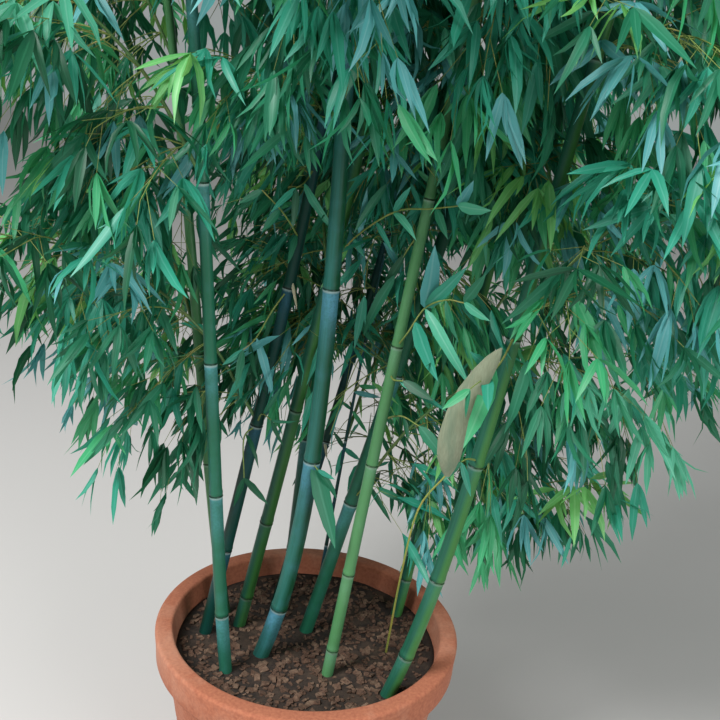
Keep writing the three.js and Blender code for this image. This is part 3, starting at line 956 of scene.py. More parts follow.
@dataclass
class Tub:
    """The terracotta tub: a tapered wall, a rim band with a rounded lip, and faint lines from the wheel."""

    height: float = 450.0
    foot_radius: float = 225.0
    foot_bevel: float = 6.0
    mouth_radius: float = 296.0
    rim_radius: float = 310.0
    rim_depth: float = 62.0
    rim_hollow: float = 0.5
    band_slope: float = 3.0
    band_foot: tuple[Pair, ...] = ((-4.0, -1.5), (-1.0, 0.0), (0.0, 3.0))
    lip: float = 7.0
    lip_points: int = 6
    wall: float = 22.0
    wall_bend: float = 0.7
    floor: float = 30.0
    floor_round: Pair = (8.0, 12.0)
    sides: int = 144
    wheel_lines: int = 26
    wheel_depth: float = 0.7
    wheel_turn: float = 2.4

    def wall_radius(self, height: float) -> float:
        """The outer wall's radius at a height."""
        return mix(self.foot_radius, self.mouth_radius, height / self.height)

    def round_off(self, centre: Pair, start: float, end: float) -> list[Pair]:
        """A turn of the lip's radius about a centre, from one angle to another in degrees."""
        angles = np.radians(np.linspace(start, end, self.lip_points))
        return [(centre[0] + self.lip * math.cos(a), centre[1] + self.lip * math.sin(a)) for a in angles]

    def profile(self) -> list[Pair]:
        """Draws the tub's outline.

        Returns:
            Radii and heights from the middle of its underside to the middle of its inner floor.
        """
        foot, band, top = self.foot_radius - self.lip, self.height - self.rim_depth, self.height - self.lip
        outline = [(0.0, 0.0), (foot - self.foot_bevel, 0.0), (foot, 0.0)]
        outline += self.round_off((foot, self.lip), -75, 0)
        for i in range(self.wheel_lines + 1):
            height = mix(2 * self.lip, band - self.lip, i / self.wheel_lines)
            line = self.wheel_depth * (1 - math.cos(i * self.wheel_turn)) / 2
            outline.append((self.wall_radius(height) - line, height))
        edge = self.rim_radius - self.band_slope
        outline += [(edge + out, band + up) for out, up in self.band_foot]
        outline.append((mix(edge, self.rim_radius, 0.5) - self.rim_hollow, self.height - self.rim_depth / 2))
        outline += self.round_off((self.rim_radius - self.lip, top), 0, 90)
        outline += self.round_off((self.wall_radius(self.height) - self.wall + self.lip, top), 90, 180)
        inside, rise = self.floor_round
        heights = (self.height * self.wall_bend, self.floor + rise)
        outline += [(self.wall_radius(height) - self.wall, height) for height in heights]
        return outline + [(self.wall_radius(self.floor) - self.wall - inside, self.floor), (0.0, self.floor)]

    def build(self) -> None:
        """Builds the tub and puts it in its node's place."""
        mesh = lathe("terracotta_tub", self.profile(), self.sides)
        mesh.materials.append(TERRACOTTA.material())
        settle(placed_piece("terracotta_tub", mesh), ["tub"])


@dataclass
class Soil:
    """The potting mix: an uneven crust with chips of bark on it."""

    level: float = Cane.SOIL
    depth: float = 45.0
    bevel: float = 8.0
    swell: float = 5.0
    # How many mm across and along make a radian of each wave in the crust, and its height beside the others
    waves: tuple[tuple[float, float, float], ...] = ((31.0, 27.0, 1.0), (13.0, 17.0, 0.6), (21.0, 9.0, 0.4))
    wave_start: float = 1.3
    wave_height: float = 0.5
    dip: float = 0.4
    edge: float = 40.0
    edge_swell: float = 0.35
    rings: int = 26
    ring_power: float = 0.8
    sectors: int = 96
    chips: int = 1500
    chip_kinds: int = 5
    chip_size: Pair = (7.0, 20.0)
    chip_breadth: Pair = (0.2, 0.4)
    chip_thickness: Pair = (0.07, 0.16)
    chip_knocks: Pair = (0.6, 1.1)
    chip_height: float = 1.2
    chip_tilt: float = 0.35
    chips_off_tub: float = 12.0
    chips_off_canes: float = 4.0
    seed: int = 11

    def radius(self) -> float:
        """The soil's radius at its level, as the frame has it."""
        low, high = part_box("soil")
        return (high.x - low.x) / 2 / MM

    def height(self, places: Array) -> Array:
        """Says how high the crust lies: a low dome with dips.

        Args:
            places: places on the crust in mm, along the last axis.

        Returns:
            Their heights in mm.
        """
        x, y = places[..., 0], places[..., 1]
        far, cross, near = self.waves
        waves = (
            far[2] * np.sin(x / far[0] + self.wave_start) * np.cos(y / far[1])
            + cross[2] * np.sin(x / cross[0] - y / cross[1])
            + near[2] * np.cos(y / near[1] + x / near[0])
        )
        swell = self.swell * (self.wave_height * waves - self.dip)
        middle = np.clip((self.radius() - np.hypot(x, y)) / self.edge, 0, 1)
        return self.level + swell * mix(self.edge_swell, 1.0, middle)

    def crust(self) -> Mesh:
        """Builds the crust in rings about its middle.

        Returns:
            Its mesh, closed below.
        """
        angles = np.arange(self.sectors) * 2 * math.pi / self.sectors
        spokes = np.stack([np.cos(angles), np.sin(angles)], axis=1)
        reach = self.radius() * (np.arange(1, self.rings + 1) / self.rings) ** self.ring_power
        flat = (reach[:, None, None] * spokes).reshape(-1, 2)
        floor = self.level - self.depth
        below = np.column_stack([spokes * (self.radius() - self.bevel), np.full(self.sectors, floor)])
        points = np.concatenate([np.column_stack([flat, self.height(flat)]), below])
        middle = [[0.0, 0.0, self.height(np.zeros((1, 2)))[0]], [0.0, 0.0, floor]]
        faces = []
        for i in range(self.sectors):
            j = (i + 1) % self.sectors
            faces.append((i, j, len(points)))
            for k in range(self.rings):
                a, b = k * self.sectors, (k + 1) * self.sectors
                faces.append((a + j, a + i, b + i, b + j))
            last = self.rings * self.sectors
            faces.append((last + j, last + i, len(points) + 1))
        return face_mesh("soil_crust", np.concatenate([points, middle]), faces)

    def chip_shapes(self, random: np.random.Generator) -> Collection:
        """Makes the chip shapes: flat splinters of eight corners, each knocked out of true.

        Args:
            random: what draws their sizes.

        Returns:
            The shapes, outside the scene.
        """
        shapes = bpy.data.collections.new("chip_shapes")
        corners = np.array([(x, y, z) for z in (-1, 1) for y in (-1, 1) for x in (-1, 1)], float)
        faces = [(0, 2, 3, 1), (4, 5, 7, 6), (0, 1, 5, 4), (2, 6, 7, 3), (0, 4, 6, 2), (1, 3, 7, 5)]
        for i in range(self.chip_kinds):
            size = np.array([0.5, random.uniform(*self.chip_breadth), random.uniform(*self.chip_thickness)])
            points = corners * size * random.uniform(*self.chip_knocks, corners.shape)
            mesh = face_mesh(f"chip_{i}", points / MM, faces, smooth=False)
            shapes.objects.link(bpy.data.objects.new(f"chip_{i}", mesh))
        return shapes

    def build(self, clump: Clump) -> None:
        """Builds the crust and scatters the chips on it, clear of the canes.

        Args:
            clump: the clump, for where its canes come up.
        """
        crust = self.crust()
        crust.materials.append(POTTING_MIX.material())
        settle(placed_piece("soil_crust", crust), ["soil"])
        random = np.random.default_rng(self.seed)
        turn = random.uniform(0, 2 * math.pi, self.chips)
        reach = (self.radius() - self.chips_off_tub) * np.sqrt(random.uniform(0, 1, self.chips))
        places = np.stack([np.cos(turn) * reach, np.sin(turn) * reach], axis=1)
        points = np.column_stack([places, self.height(places) + self.chip_height])
        points = points[clump.clear_of_every_cane(points, self.chips_off_canes)]
        count = len(points)
        tilts = random.uniform(-self.chip_tilt, self.chip_tilt, (count, 3))
        tilts[:, 2] = random.uniform(0, 2 * math.pi, count)
        sizes = mix(*self.chip_size, random.uniform(0, 1, count) ** 2)
        spots = point_mesh(points, tilts, sizes, random.integers(0, self.chip_kinds, count))
        shapes = self.chip_shapes(random)
        chips = grown("bark_chips", spots, scatter_tree(), Shapes=shapes, Finish=BARK_CHIP.material())
        settle(chips, [])


@dataclass
class CaneSurface:
    """The culms: round skins with a scar ring and a ridge at each joint."""

    sides: int = 28
    spacing: float = 60.0
    buried: float = 15.0
    relief_radius: float = 13.0
    relief_scale: Pair = (0.3, 1.15)
    # Where the next joints would be, below the soil and past the tip
    unseen_joints: Pair = (-200.0, 100.0)
    # Height from the joint and swell of each ring round it: the sheath's scar, a groove, then the ridge
    relief: tuple[Pair, ...] = (
        (-14.0, 1.0), (-7.0, 1.015), (-2.4, 1.035), (-1.2, 1.085), (-0.3, 1.1), (0.3, 1.075), (1.2, 1.01),
        (2.6, 1.005), (4.6, 1.05), (7.0, 1.085), (9.5, 1.06), (13.0, 1.02), (18.0, 1.0),
    )

    def rings(self, cane: Cane) -> list[Pair]:
        """Lays out a culm's rings.

        Args:
            cane: the cane.

        Returns:
            Their lengths and swells, from below the soil to the tip.
        """
        found = [(-self.buried, 1.0), (cane.length, 1.0)]
        for joint in cane.joints():
            low, high = self.relief_scale
            scale = min(max(cane.radius(joint) / self.relief_radius, low), high)
            found += [(joint + offset * scale, swell) for offset, swell in self.relief]
        ends = [-self.buried, *cane.joints(), cane.length]
        for low, high in zip(ends, ends[1:]):
            count = max(2, round((high - low) / self.spacing))
            found += [(mix(low, high, i / count), 1.0) for i in range(1, count)]
        return sorted(ring for ring in found if -self.buried <= ring[0] <= cane.length)

    def strand(self, cane: Cane, path: Path) -> Strand:
        """Makes a culm a strand with its distances along it and to the joints on either side.

        Args:
            cane: the cane.
            path: its centreline.

        Returns:
            The strand.
        """
        rings = self.rings(cane)
        lengths = np.array([length for length, _ in rings])
        first, past = self.unseen_joints
        joints = np.array([first, *cane.joints(), cane.length + past])
        points = np.array([path.at(length / cane.length)[0] for length in lengths])
        radii = np.array([cane.radius(length) * swell for length, swell in rings])
        above = np.array([length - joints[joints < length].max() for length in lengths])
        below = np.array([joints[joints >= length].min() - length for length in lengths])
        return Strand(points, radii, {"along": lengths, "above": above, "below": below})

    def build(self, clump: Clump) -> None:
        """Builds one piece for each cane.

        Args:
            clump: the clump.
        """
        skins = {finish: skin.material() for finish, skin in CANE_SKINS.items()}
        for cane in clump.canes:
            base = strand_mesh([self.strand(cane, clump.paths[cane.name])])
            inputs = {"Sides": self.sides, "Finish": skins[cane.finish]}
            piece = grown(f"culm_{cane.name}", base, limb_tree(), **inputs)
            settle(piece, [f"cane_{cane.name}"])


@dataclass(frozen=True)
class LeafShape:
    """One shape of leaf, one unit long: a lance point, folded along its rib and drooping to its tip."""

    width: float
    droop: float
    fold: float
    twist: float
    stations: tuple[Pair, ...] = ((0.0, 0.05), (0.11, 0.66), (0.33, 1.0), (0.7, 0.72), (1.0, 0.0))

    FEWER_STATIONS = ((0.0, 0.07), (0.22, 0.94), (0.62, 0.8), (1.0, 0.0))
    DROOP_POWER = 2.2
    DROOP_PULLS_IN = 0.35

    def plain(self) -> "LeafShape":
        """The same leaf with fewer faces, for the leaves further off."""
        return replace(self, stations=self.FEWER_STATIONS)

    def mesh(self, name: str) -> Mesh:
        """Builds the leaf along +X with its upper face to +Z, and its UV map of length and breadth.

        Args:
            name: the mesh's name.

        Returns:
            The mesh, one metre long.
        """
        points, places = [], []
        for along, breadth in self.stations:
            turn = math.radians(self.twist) * along
            sag = -self.droop * along**self.DROOP_POWER
            for side in (-1, 0, 1) if breadth > 0 else (0,):
                out = self.width / 2 * breadth * side
                lift = abs(out) * math.sin(math.radians(self.fold))
                y = out * math.cos(turn) - lift * math.sin(turn)
                z = out * math.sin(turn) + lift * math.cos(turn) + sag
                points.append((along * (1 - self.droop * self.DROOP_PULLS_IN * along), y, z))
                places.append((along, 0.5 + side / 2))
        faces = []
        for a in range(0, 3 * (len(self.stations) - 2), 3):
            b = a + 3
            faces += [(a, b, b + 1, a + 1), (a + 1, b + 1, b + 2, a + 2)]
        a, tip = 3 * (len(self.stations) - 2), len(points) - 1
        faces += [(a, tip, a + 1), (a + 1, tip, a + 2)]
        mesh = face_mesh(name, np.array(points) / MM, faces)
        chart = mesh.uv_layers.new(name="UVMap")
        for loop in mesh.loops:
            chart.data[loop.index].uv = places[loop.vertex_index]
        return mesh


@dataclass(frozen=True)
class Shoot:
    """How one order of shoots grows: angles in degrees, lengths in mm, and how many ways each is tried."""

    spread: Pair
    lift: Pair
    length: Pair
    droop: float
    points: int
    tries: int
    radii: Pair
    clear_of_canes: float
    # How many points at the root may touch the cane that it grows on
    rooted: int = 1

    def lines(self, roots: Array, turn: Array, lift: Array, length: Array) -> Array:
        """Draws shoots that leave their roots one way and sag towards their ends.

        Args:
            roots: where they start, in mm.
            turn: their headings in degrees, a row for each try.
            lift: their rises in degrees, in the same rows.
            length: their lengths in mm, in the same rows.

        Returns:
            The points of each line, in the same rows.
        """
        shares = np.linspace(0, 1, self.points)[:, None]
        way = pointing(turn, lift)[..., None, :] * shares - np.array([0, 0, self.droop]) * shares**2
        return roots[..., None, :] + way * length[..., None, None]


def places_along(lines: Array, shares: Array) -> tuple[Array, Array]:
    """Finds the same places on many lines.

    Args:
        lines: points, the same number on each line.
        shares: how far along each place is, from 0 to 1.

    Returns:
        The places and the lines' directions there, one row for each line.
    """
    at = np.clip(shares * (lines.shape[1] - 1), 0, lines.shape[1] - 1 - 1e-6)
    i = at.astype(int)
    start, end = lines[:, i], lines[:, i + 1]
    return start + (end - start) * (at - i)[:, None], unit(end - start)


@dataclass
class Leaves:
    """Leaves: each one's root, way, facing, length in mm, shape, colour and branchlet."""

    roots: Array
    ways: Array
    faces: Array
    lengths: Array
    shapes: Array
    tints: Array
    branchlets: Array

    def chosen(self, which: Array) -> "Leaves":
        """Some of the leaves."""
        return Leaves(*(values[which] for values in vars(self).values()))

    def joined(self, others: "Leaves") -> "Leaves":
        """These leaves and others."""
        return Leaves(*(np.concatenate(pair) for pair in zip(vars(self).values(), vars(others).values())))

    def turns(self) -> Array:
        """Works out the turn that lays each leaf along its way with its face up.

        Returns:
            An Euler turn for each, in radians.
        """
        way = unit(self.ways)
        side = unit(np.cross(self.faces, way))
        up = np.cross(way, side)
        across, tip = np.arctan2(side[:, 2], up[:, 2]), -np.arcsin(np.clip(way[:, 2], -1, 1))
        return np.stack([across, tip, np.arctan2(way[:, 1], way[:, 0])], axis=1)


@dataclass(frozen=True)
class Area:
    """A box of the photograph, in pixels from its top left."""

    left: float
    top: float
    right: float
    bottom: float

    def holds(self, across: Array, down: Array) -> Array:
        """Whether each pixel lies in the box."""
        return (across > self.left) & (across < self.right) & (down > self.top) & (down < self.bottom)


@dataclass
class View:
    """The photograph's view: a camera level with the canes, tipped down and rolled, and what shows in it."""

    target: tuple[float, float, float] = (60.0, 0.0, 1025.0)
    distance: float = 1700.0
    pitch: float = 17.0
    roll: float = 5.0
    lens: float = 45.0
    sensor: float = 36.0
    frame_width: int = 720
    clip: Pair = (0.02, 200.0)
    # Where limbs show with nothing in front of them, and the depth that they reach forward to: most of the
    # canes, the dark one, the shaded one's upper joint, the star of leaves, the tan sheath and the outer cane
    shown: tuple[tuple[Area, float], ...] = (
        (Area(226, 185, 432, 545), -90.0), (Area(367, 248, 389, 304), 110.0),
        (Area(436, 206, 454, 262), 25.0), (Area(432, 246, 494, 352), -215.0),
        (Area(434, 352, 500, 478), -262.0), (Area(446, 462, 494, 545), -185.0),
    )
    # Where the photograph shows light between the leaves, and the share of the leaves there
    openings: tuple[tuple[Area, float], ...] = (
        (Area(230, 440, 388, 640), 0.16), (Area(312, 372, 388, 470), 0.03), (Area(270, 356, 313, 441), 0.3),
        (Area(320, 236, 388, 373), 0.6), (Area(388, 236, 492, 300), 0.75), (Area(388, 400, 440, 470), 0.75),
        (Area(398, 345, 420, 372), 0.4),
    )

    def axes(self) -> tuple[Array, Array, Array]:
        """Works out how the camera is turned.

        Returns:
            Its right, up and forward directions.
        """
        tip, lean = math.radians(self.pitch), math.radians(self.roll)
        level, upright = np.array([1.0, 0.0, 0.0]), np.array([0.0, math.sin(tip), math.cos(tip)])
        right = level * math.cos(lean) + upright * math.sin(lean)
        up = upright * math.cos(lean) - level * math.sin(lean)
        return right, up, np.array([0.0, math.cos(tip), -math.sin(tip)])

    def place(self) -> Array:
        """Where the camera stands, in mm."""
        return np.array(self.target) - self.axes()[2] * self.distance

    def focal(self) -> float:
        """The focal length in pixels."""
        return self.frame_width * self.lens / self.sensor

    def pixels(self, points: Array) -> tuple[Array, Array]:
        """Finds where places fall in the frame.

        Args:
            points: the places in mm, one in each row.

        Returns:
            How far across and down each falls, in pixels from the frame's top left.
        """
        right, up, ahead = (((points - self.place()) @ axis) for axis in self.axes())
        scale = self.focal() / np.maximum(ahead, 1.0)
        return self.frame_width / 2 + scale * right, self.frame_width / 2 - scale * up

    def point(self, pixel: Pair, depth: float) -> Array:
        """Finds the place behind a pixel of the photograph.

        Args:
            pixel: how far across and down it is.
            depth: how deep the place lies, along Y in mm.

        Returns:
            The place in mm.
        """
        right, up, ahead = self.axes()
        across, down = (pixel[0] - self.frame_width / 2, pixel[1] - self.frame_width / 2)
        ray = ahead * self.focal() + right * across - up * down
        return self.place() + ray * (depth - self.place()[1]) / ray[1]

    def trace(self, pixels: tuple[Pair, ...], depths: Pair) -> Path:
        """The path behind a row of pixels, with depths spaced evenly from its root to its tip."""
        steps = np.linspace(*depths, len(pixels))
        return Path(np.array([self.point(pixel, depth) for pixel, depth in zip(pixels, steps)]))

    def hides_canes(self, points: Array) -> Array:
        """Whether each place would stand in front of the limbs that the photograph shows."""
        at = self.pixels(points)
        return np.any([box.holds(*at) & (points[:, 1] < depth) for box, depth in self.shown], axis=0)

    def leafiness(self, points: Array) -> Array:
        """The share of leaves to keep at each place."""
        at = self.pixels(points)
        return np.min([np.where(box.holds(*at), share, 1.0) for box, share in self.openings], axis=0)

    def build(self) -> None:
        """Makes the scene's camera."""
        data = bpy.data.cameras.new("camera")
        data.lens, data.sensor_width = self.lens, self.sensor
        data.clip_start, data.clip_end = self.clip
        camera = bpy.data.objects.new("camera", data)
        right, up, forward = self.axes()
        turned = Matrix(np.column_stack([right, up, -forward]).tolist()).to_4x4()
        camera.matrix_world = Matrix.Translation((self.place() * MM).tolist()) @ turned
        bpy.context.scene.collection.objects.link(camera)
        bpy.context.scene.camera = camera


@dataclass(frozen=True)
class SeenLeaf:
    """A leaf that stands out: how far along its twig, the pixel of its tip, its depth and its width in mm."""

    share: float
    tip: Pair
    depth: float
    width: float
    tint: Tint


@dataclass(frozen=True)
class SeenSpray:
    """A twig that stands out: its cane, the pixels that it passes, its end depths and its leaves."""

    cane: str
    pixels: tuple[Pair, ...]
    depths: Pair
    leaves: tuple[SeenLeaf, ...]

    def line(self, view: View, clump: Clump, count: int) -> Array:
        """Draws the twig from the middle of its cane.

        Args:
            view: the photograph's view.
            clump: the clump.
            count: how many points it has.

        Returns:
            Its points in mm.
        """
        path = view.trace(self.pixels, self.depths)
        if self.cane:
            path.points[0] = clump.paths[self.cane].nearest(path.points[0])
        return path.smooth(np.linspace(0, 1, count))


SEEN_SPRAYS = (
    # From the bright cane's joint, up to a star of four wide leaves and on to the right
    SeenSpray("bright", ((396, 347), (409, 331), (425, 308), (446, 300), (464, 303)), (-108, -250), (
        SeenLeaf(0.5, (437, 246), -235, 33, Tint.BLUE), SeenLeaf(0.5, (467, 268), -240, 22, Tint.TEAL),
        SeenLeaf(0.5, (469, 386), -290, 14, Tint.PALE), SeenLeaf(0.35, (436, 383), -230, 29, Tint.TEAL),
        SeenLeaf(1.0, (489, 322), -300, 15, Tint.PALE), SeenLeaf(1.0, (486, 274), -280, 16, Tint.SHADE),
        SeenLeaf(0.75, (452, 345), -260, 12, Tint.SHADE),
    )),
    # From behind the centre cane, up to the right across the bright one
    SeenSpray("centre", ((338, 254), (352, 240), (394, 212), (430, 209), (458, 206)), (10, -230), (
        SeenLeaf(0.5, (416, 227), -190, 15, Tint.PALE), SeenLeaf(0.5, (410, 186), -150, 13, Tint.TEAL),
        SeenLeaf(0.4, (393, 252), -110, 11, Tint.TEAL), SeenLeaf(0.26, (365, 258), -60, 11, Tint.TEAL),
        SeenLeaf(1.0, (474, 182), -280, 18, Tint.BLUE), SeenLeaf(1.0, (490, 212), -300, 20, Tint.PALE),
        SeenLeaf(0.8, (447, 238), -240, 13, Tint.SHADE), SeenLeaf(0.3, (369, 190), -90, 14, Tint.BLUE),
    )),
    # From behind the bright cane, two leaves that hang past the dark one
    SeenSpray("bright", ((422, 231), (410, 246), (402, 260), (396, 274)), (-100, -70), (
        SeenLeaf(0.5, (368, 311), -60, 15, Tint.DEEP), SeenLeaf(1.0, (347, 349), -80, 20, Tint.SHADE),
    )),
    # From the left cane, up to the left
    SeenSpray("left", ((300, 240), (284, 214), (262, 190)), (-6, -110), (
        SeenLeaf(0.1, (288, 264), -50, 13, Tint.SHADE), SeenLeaf(0.6, (262, 232), -100, 13, Tint.SHADE),
        SeenLeaf(1.0, (238, 204), -130, 13, Tint.SHADE), SeenLeaf(0.8, (250, 222), -140, 12, Tint.DEEP),
    )),
    # From the left cane above the photograph's edge, leaves that hang down past it
    SeenSpray("left", ((315, 168), (305, 182), (296, 188)), (0, -80), (
        SeenLeaf(0.55, (329, 236), -120, 15, Tint.PALE), SeenLeaf(1.0, (294, 229), -110, 14, Tint.DEEP),
        SeenLeaf(1.0, (270, 212), -110, 13, Tint.TEAL),
    )),
    # From the left cane's joint, down to the left
    SeenSpray("left", ((288, 290), (272, 311), (256, 338), (243, 350)), (-10, -90), (
        SeenLeaf(0.66, (279, 407), -110, 14, Tint.BLUE), SeenLeaf(1.0, (236, 388), -130, 13, Tint.SHADE),
        SeenLeaf(1.0, (222, 366), -110, 13, Tint.TEAL), SeenLeaf(0.3, (262, 346), -60, 12, Tint.DEEP),
        SeenLeaf(0.8, (252, 384), -120, 12, Tint.DEEP),
    )),
    # From its lower joint, to either side
    SeenSpray("left", ((254, 425), (262, 414), (271, 420)), (-12, -60), (
        SeenLeaf(1.0, (283, 449), -80, 10, Tint.DEEP), SeenLeaf(0.6, (281, 388), -70, 10, Tint.SHADE),
        SeenLeaf(1.0, (296, 426), -80, 9, Tint.SHADE),
    )),
    SeenSpray("left", ((252, 427), (244, 438), (244, 478)), (-12, -60), (
        SeenLeaf(1.0, (269, 505), -80, 13, Tint.DEEP), SeenLeaf(0.4, (263, 464), -80, 9, Tint.DEEP),
        SeenLeaf(1.0, (233, 508), -80, 12, Tint.DEEP),
    )),
    # From the centre cane's lower joint, a broad leaf that hangs past the photograph's edge
    SeenSpray("centre", ((309, 461), (313, 464), (318, 470)), (-80, -105), (
        SeenLeaf(0.4, (338, 552), -150, 31, Tint.SHADE), SeenLeaf(1.0, (346, 502), -110, 14, Tint.SHADE),
        SeenLeaf(1.0, (335, 480), -120, 9, Tint.TEAL),
    )),
    # From the bright cane, leaves to the right
    SeenSpray("bright", ((388, 377), (394, 380), (403, 381)), (-112, -190), (
        SeenLeaf(1.0, (434, 401), -225, 20, Tint.DEEP), SeenLeaf(0.8, (446, 410), -240, 13, Tint.TEAL),
    )),
    # From the outer cane, leaves that come in from the right
    SeenSpray("outer", ((515, 335), (498, 366), (470, 389)), (-175, -322), (
        SeenLeaf(1.0, (441, 410), -330, 17, Tint.MID), SeenLeaf(0.55, (466, 450), -352, 31, Tint.MID),
        SeenLeaf(0.7, (488, 410), -345, 22, Tint.TEAL), SeenLeaf(0.6, (470, 352), -290, 16, Tint.TEAL),
        SeenLeaf(1.0, (464, 419), -340, 10, Tint.SHADE),
    )),
    # From the shaded cane, past the bright one
    SeenSpray("shaded", ((380, 424), (400, 416), (419, 426)), (30, -240), (
        SeenLeaf(1.0, (449, 463), -280, 23, Tint.SHADE), SeenLeaf(0.6, (409, 441), -160, 10, Tint.DEEP),
    )),
    # From the outer cane's lower joint
    SeenSpray("outer", ((476, 466), (468, 459), (461, 462)), (-190, -220), (
        SeenLeaf(1.0, (472, 498), -240, 14, Tint.TEAL), SeenLeaf(1.0, (443, 481), -240, 14, Tint.SHADE),
    )),
    # From the shaded cane's lower joint
    SeenSpray("shaded", ((354, 501), (366, 486), (376, 487)), (50, -20), (
        SeenLeaf(1.0, (417, 508), -60, 14, Tint.SHADE), SeenLeaf(0.6, (393, 523), -50, 12, Tint.DEEP),
    )),
    # From the slender cane, thin leaves that hang clear of the others
    SeenSpray("slender", ((356, 381), (359, 386), (354, 392)), (100, 80), (
        SeenLeaf(1.0, (382, 398), 70, 12, Tint.BLUE), SeenLeaf(0.5, (381, 388), 60, 11, Tint.MID),
    )),
    SeenSpray("slender", ((352, 404), (350, 402), (352, 410)), (100, 90), (
        SeenLeaf(1.0, (369, 437), 80, 9, Tint.MID), SeenLeaf(1.0, (337, 398), 90, 9, Tint.SHADE),
    )),
    SeenSpray("slender", ((345, 443), (342, 444), (344, 448)), (100, 90), (
        SeenLeaf(1.0, (361, 461), 80, 11, Tint.TEAL), SeenLeaf(1.0, (335, 478), 80, 12, Tint.TEAL),
        SeenLeaf(1.0, (333, 431), 80, 9, Tint.DEEP),
    )),
)


@dataclass(frozen=True)
class Sheath:
    """A dry culm sheath: a papery half-cone along the pixels from its root to its tip."""

    name: str
    pixels: tuple[Pair, ...]
    depths: Pair
    width: float
    skin: GrainySkin

    SHARES = (0.0, 0.05, 0.14, 0.26, 0.4, 0.55, 0.7, 0.84, 0.94, 1.0)
    BREADTHS = (0.2, 0.5, 0.86, 1.0, 0.97, 0.87, 0.72, 0.5, 0.27, 0.05)
    ACROSS = 9
    WRAP = 75.0
    DEPTH = 0.55
    FLUTE = 0.04

    def build(self, view: View, nodes: list[str]) -> None:
        """Builds the sheath with its open side away from the camera.

        Args:
            view: the photograph's view.
            nodes: the CAD nodes that it stands for.
        """
        middles = view.trace(self.pixels, self.depths).smooth(np.array(self.SHARES))
        ways = unit(np.gradient(middles, axis=0))
        outs = unit(np.cross(np.cross(ways, view.place() - middles), ways))
        angles = np.radians(np.linspace(-self.WRAP, self.WRAP, self.ACROSS))
        points = []
        for middle, way, out, breadth in zip(middles, ways, outs, self.BREADTHS):
            for i, angle in enumerate(angles):
                reach = self.width / 2 * breadth * (1 + self.FLUTE * (-1) ** i)
                edge = np.cross(way, out) * math.sin(angle) + out * math.cos(angle) * self.DEPTH
                points.append(middle + edge * reach)
        n = self.ACROSS
        starts = (i * n + j for i in range(len(self.SHARES) - 1) for j in range(n - 1))
        mesh = face_mesh(self.name, np.array(points), [(a, a + 1, a + n + 1, a + n) for a in starts])
        mesh.materials.append(self.skin.material())
        settle(placed_piece(self.name, mesh), nodes)


SHEATHS = (
    Sheath("sheath_tan", ((447, 476), (451, 441), (466, 400), (487, 368), (502, 348)), (-262, -300), 44.0,
           SHEATH_SKIN),
    Sheath("sheath_cream", ((292, 281), (297, 309)), (-8, -18), 6.0, PALE_SHEATH_SKIN),
    Sheath("sheath_pale", ((324, 436), (327, 459)), (140, 126), 7.0, PALE_SHEATH_SKIN),
)

# The yellow shoot that the tan sheath sits on, up from the soil between the bright cane and the outer one
YOUNG_SHOOT = SeenSpray("", ((386, 652), (401, 575), (418, 510), (447, 474)), (-20, -262), ())


